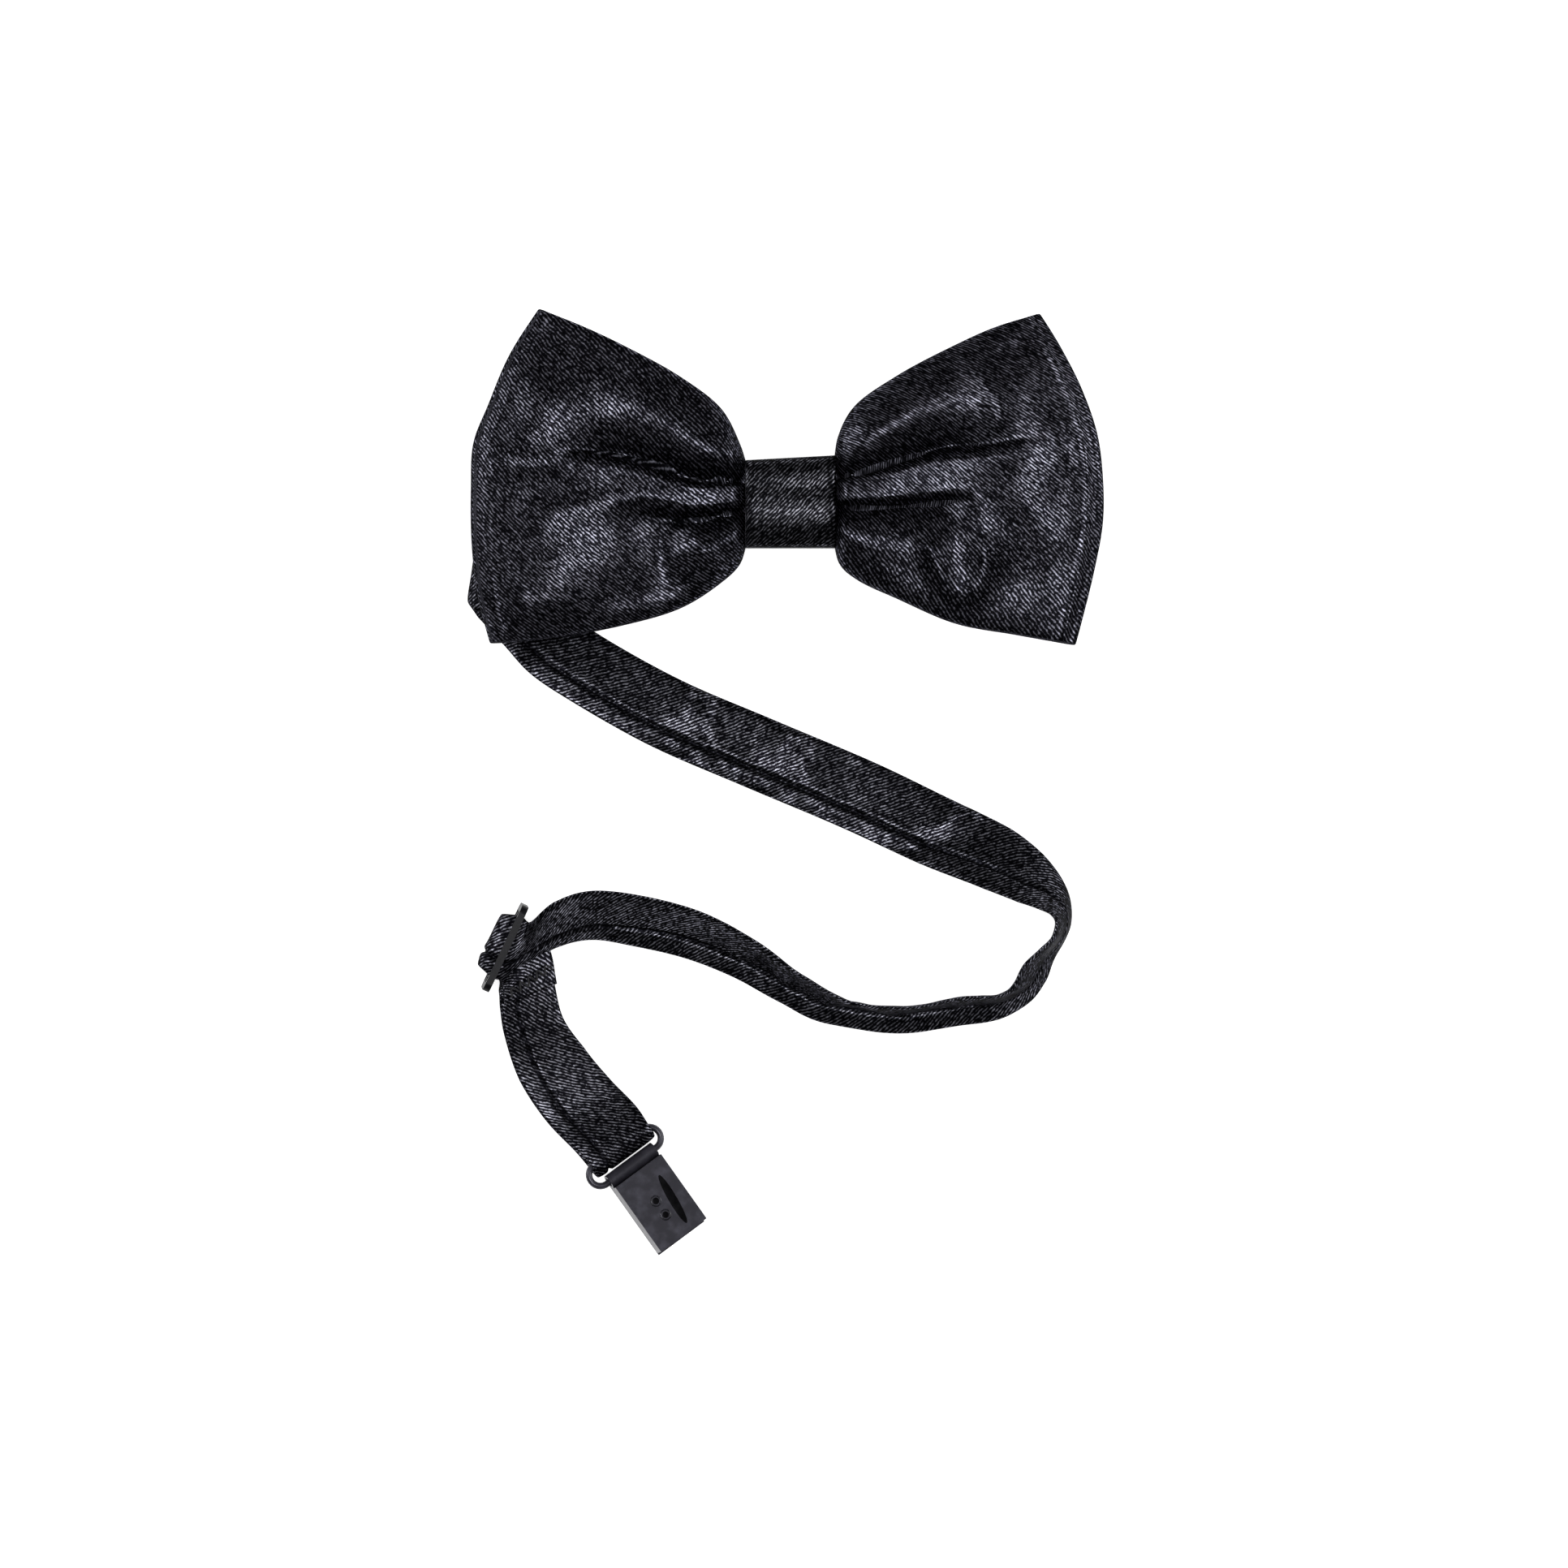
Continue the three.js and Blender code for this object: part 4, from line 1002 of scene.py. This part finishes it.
def in_clasp_box(points):
    """Turns points given in the clasp box's own directions, in millimetres, into the scene's."""
    ways = CLASP["ways"] @ turned(0, 0, 2)
    at = np.array(joints["clasp_box_swing"]["pos_m"]) / MM
    return at + np.asarray(points) @ ways.T


def revolved(middle, radius, bead):
    """A ring-shaped bead that lies flat."""
    turn = np.linspace(0, 2 * math.pi, 48, endpoint=False)[:, None]
    roll = np.linspace(0, 2 * math.pi, 12, endpoint=False)[None, :]
    far = radius + bead * np.cos(roll)
    x, y = far * np.cos(turn), far * np.sin(turn)
    z = bead * np.sin(roll) + 0 * turn
    return np.dstack([x, y, z]) + np.array(middle)


def lens(middle, length, width, height, lean=0.0):
    """A flat oval lens of lacquer."""
    tilt = np.linspace(0.03, 0.97, 22)[:, None] * math.pi
    turn = np.linspace(0, 2 * math.pi, 40, endpoint=False)[None, :]
    x = length * np.sin(tilt) * np.cos(turn)
    y = width * np.sin(tilt) * np.sin(turn)
    z = height * np.cos(tilt) + 0 * turn
    x, y = x * math.cos(lean) - y * math.sin(lean), x * math.sin(lean) + y * math.cos(lean)
    return np.dstack([x, y, z]) + np.array(middle)


def clasp_detail(name, shape, closed_rows, material):
    """A small raised or sunken shape on the clasp box, which moves with it."""
    made = cloth_object(name, in_clasp_box(shape), shape[..., :2], closed_rows, material)
    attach(made, "clasp_box")


CLASP_TOP = 2.15  # the top of the clasp box above the ring's bar
DIMPLES = (8.0, 11.2)  # how far each dimple is from the ring's bar
DIMPLE_RADIUS = 0.98
DIMPLE_BEAD = 0.14


def make_clasp_details():
    """The rims round the clasp's two dimples, and dark lenses of painted shade in its pressed hollows.
    """
    for number, x in enumerate(DIMPLES, 1):
        bead = revolved((x, -0.6, CLASP_TOP), DIMPLE_RADIUS, DIMPLE_BEAD)
        clasp_detail(f"clasp_dimple_rim_{number}", bead, True, rim_shade_lacquer)
        # Painted shade: a dark lens fills each dimple.
        shade_lens = lens((x, -0.6, CLASP_TOP - DIMPLE_BEAD), 0.82, 0.82, 0.08)
        clasp_detail(f"clasp_dimple_painted_shade_{number}", shade_lens, False, painted_shade_lacquer)
    # Painted shade: a dark lens fills the pressed hollow.
    shade_lens = lens((10.2, 2.3, CLASP_TOP - 0.06), 6.4, 1.15, 0.07, -0.09)
    clasp_detail("clasp_hollow_painted_shade", shade_lens, False, painted_shade_lacquer)


# ------------------------------------------------------------------ table and lights
def make_table():
    """A sheet of white paper, with enough glow of its own to stay evenly pale."""
    size = 3.0
    mesh = bpy.data.meshes.new("table")
    low = cad_bounds[0].z - 0.3 * MM
    corners = [(-size, -size, low), (size, -size, low), (size, size, low), (-size, size, low)]
    mesh.from_pydata(corners, [], [(0, 1, 2, 3)])
    made, tree, shader = surface("table_white_paper")
    shader.inputs["Base Color"].default_value = linear("#f6f6f6")
    shader.inputs["Roughness"].default_value = 0.9
    shader.inputs["Specular IOR Level"].default_value = 0.1
    shader.inputs["Emission Color"].default_value = (1, 1, 1, 1)
    shader.inputs["Emission Strength"].default_value = 0.75
    mesh.materials.append(made)
    table = bpy.data.objects.new("table", mesh)
    bpy.context.scene.collection.objects.link(table)


def softbox(name, place, size, power):
    """A soft oval light that faces the middle of the table."""
    data = bpy.data.lights.new(name, "AREA")
    data.shape = "ELLIPSE"
    data.size, data.size_y = size
    data.energy = power
    light = bpy.data.objects.new(name, data)
    light.location = place
    light.rotation_mode = "QUATERNION"
    light.rotation_quaternion = (-Vector(place)).to_track_quat("-Z", "Y")
    bpy.context.scene.collection.objects.link(light)


smooth_shading = shading_nodes()
bow = make_bow()
make_band()
make_strap()
for thread in ("gather_thread", "knot_seam_thread", "short_end_tack", "slider_end_tack"):
    finish_hardware(thread, black_thread, 0)
finish_hardware("bow_interlining", fleece, 0)
finish_hardware("slider", slider_lacquer, 0.28)
make_clasp_details()
finish_hardware("clasp_ring", lacquer, 0)
finish_hardware("clasp_box", lacquer, 0.12)
finish_hardware("tongue_ring", lacquer, 0)
finish_hardware("tongue_plate", lacquer, 0.1)
finish_hardware("tongue_leaf", spring_steel, 0.08)
make_table()
softbox("overhead", (0.0, 0.0, 1.35), (0.55, 0.55), 7.5)
softbox("left", (-1.2, 0.4, 0.7), (0.5, 0.9), 6.0)
softbox("right", (1.2, 0.3, 0.7), (0.5, 0.9), 6.0)
world = bpy.data.worlds.new("studio")
world.use_nodes = True
world.node_tree.nodes["Background"].inputs["Color"].default_value = (1, 1, 1, 1)
world.node_tree.nodes["Background"].inputs["Strength"].default_value = 0.14
bpy.context.scene.world = world
bpy.context.scene.view_settings.view_transform = "Standard"
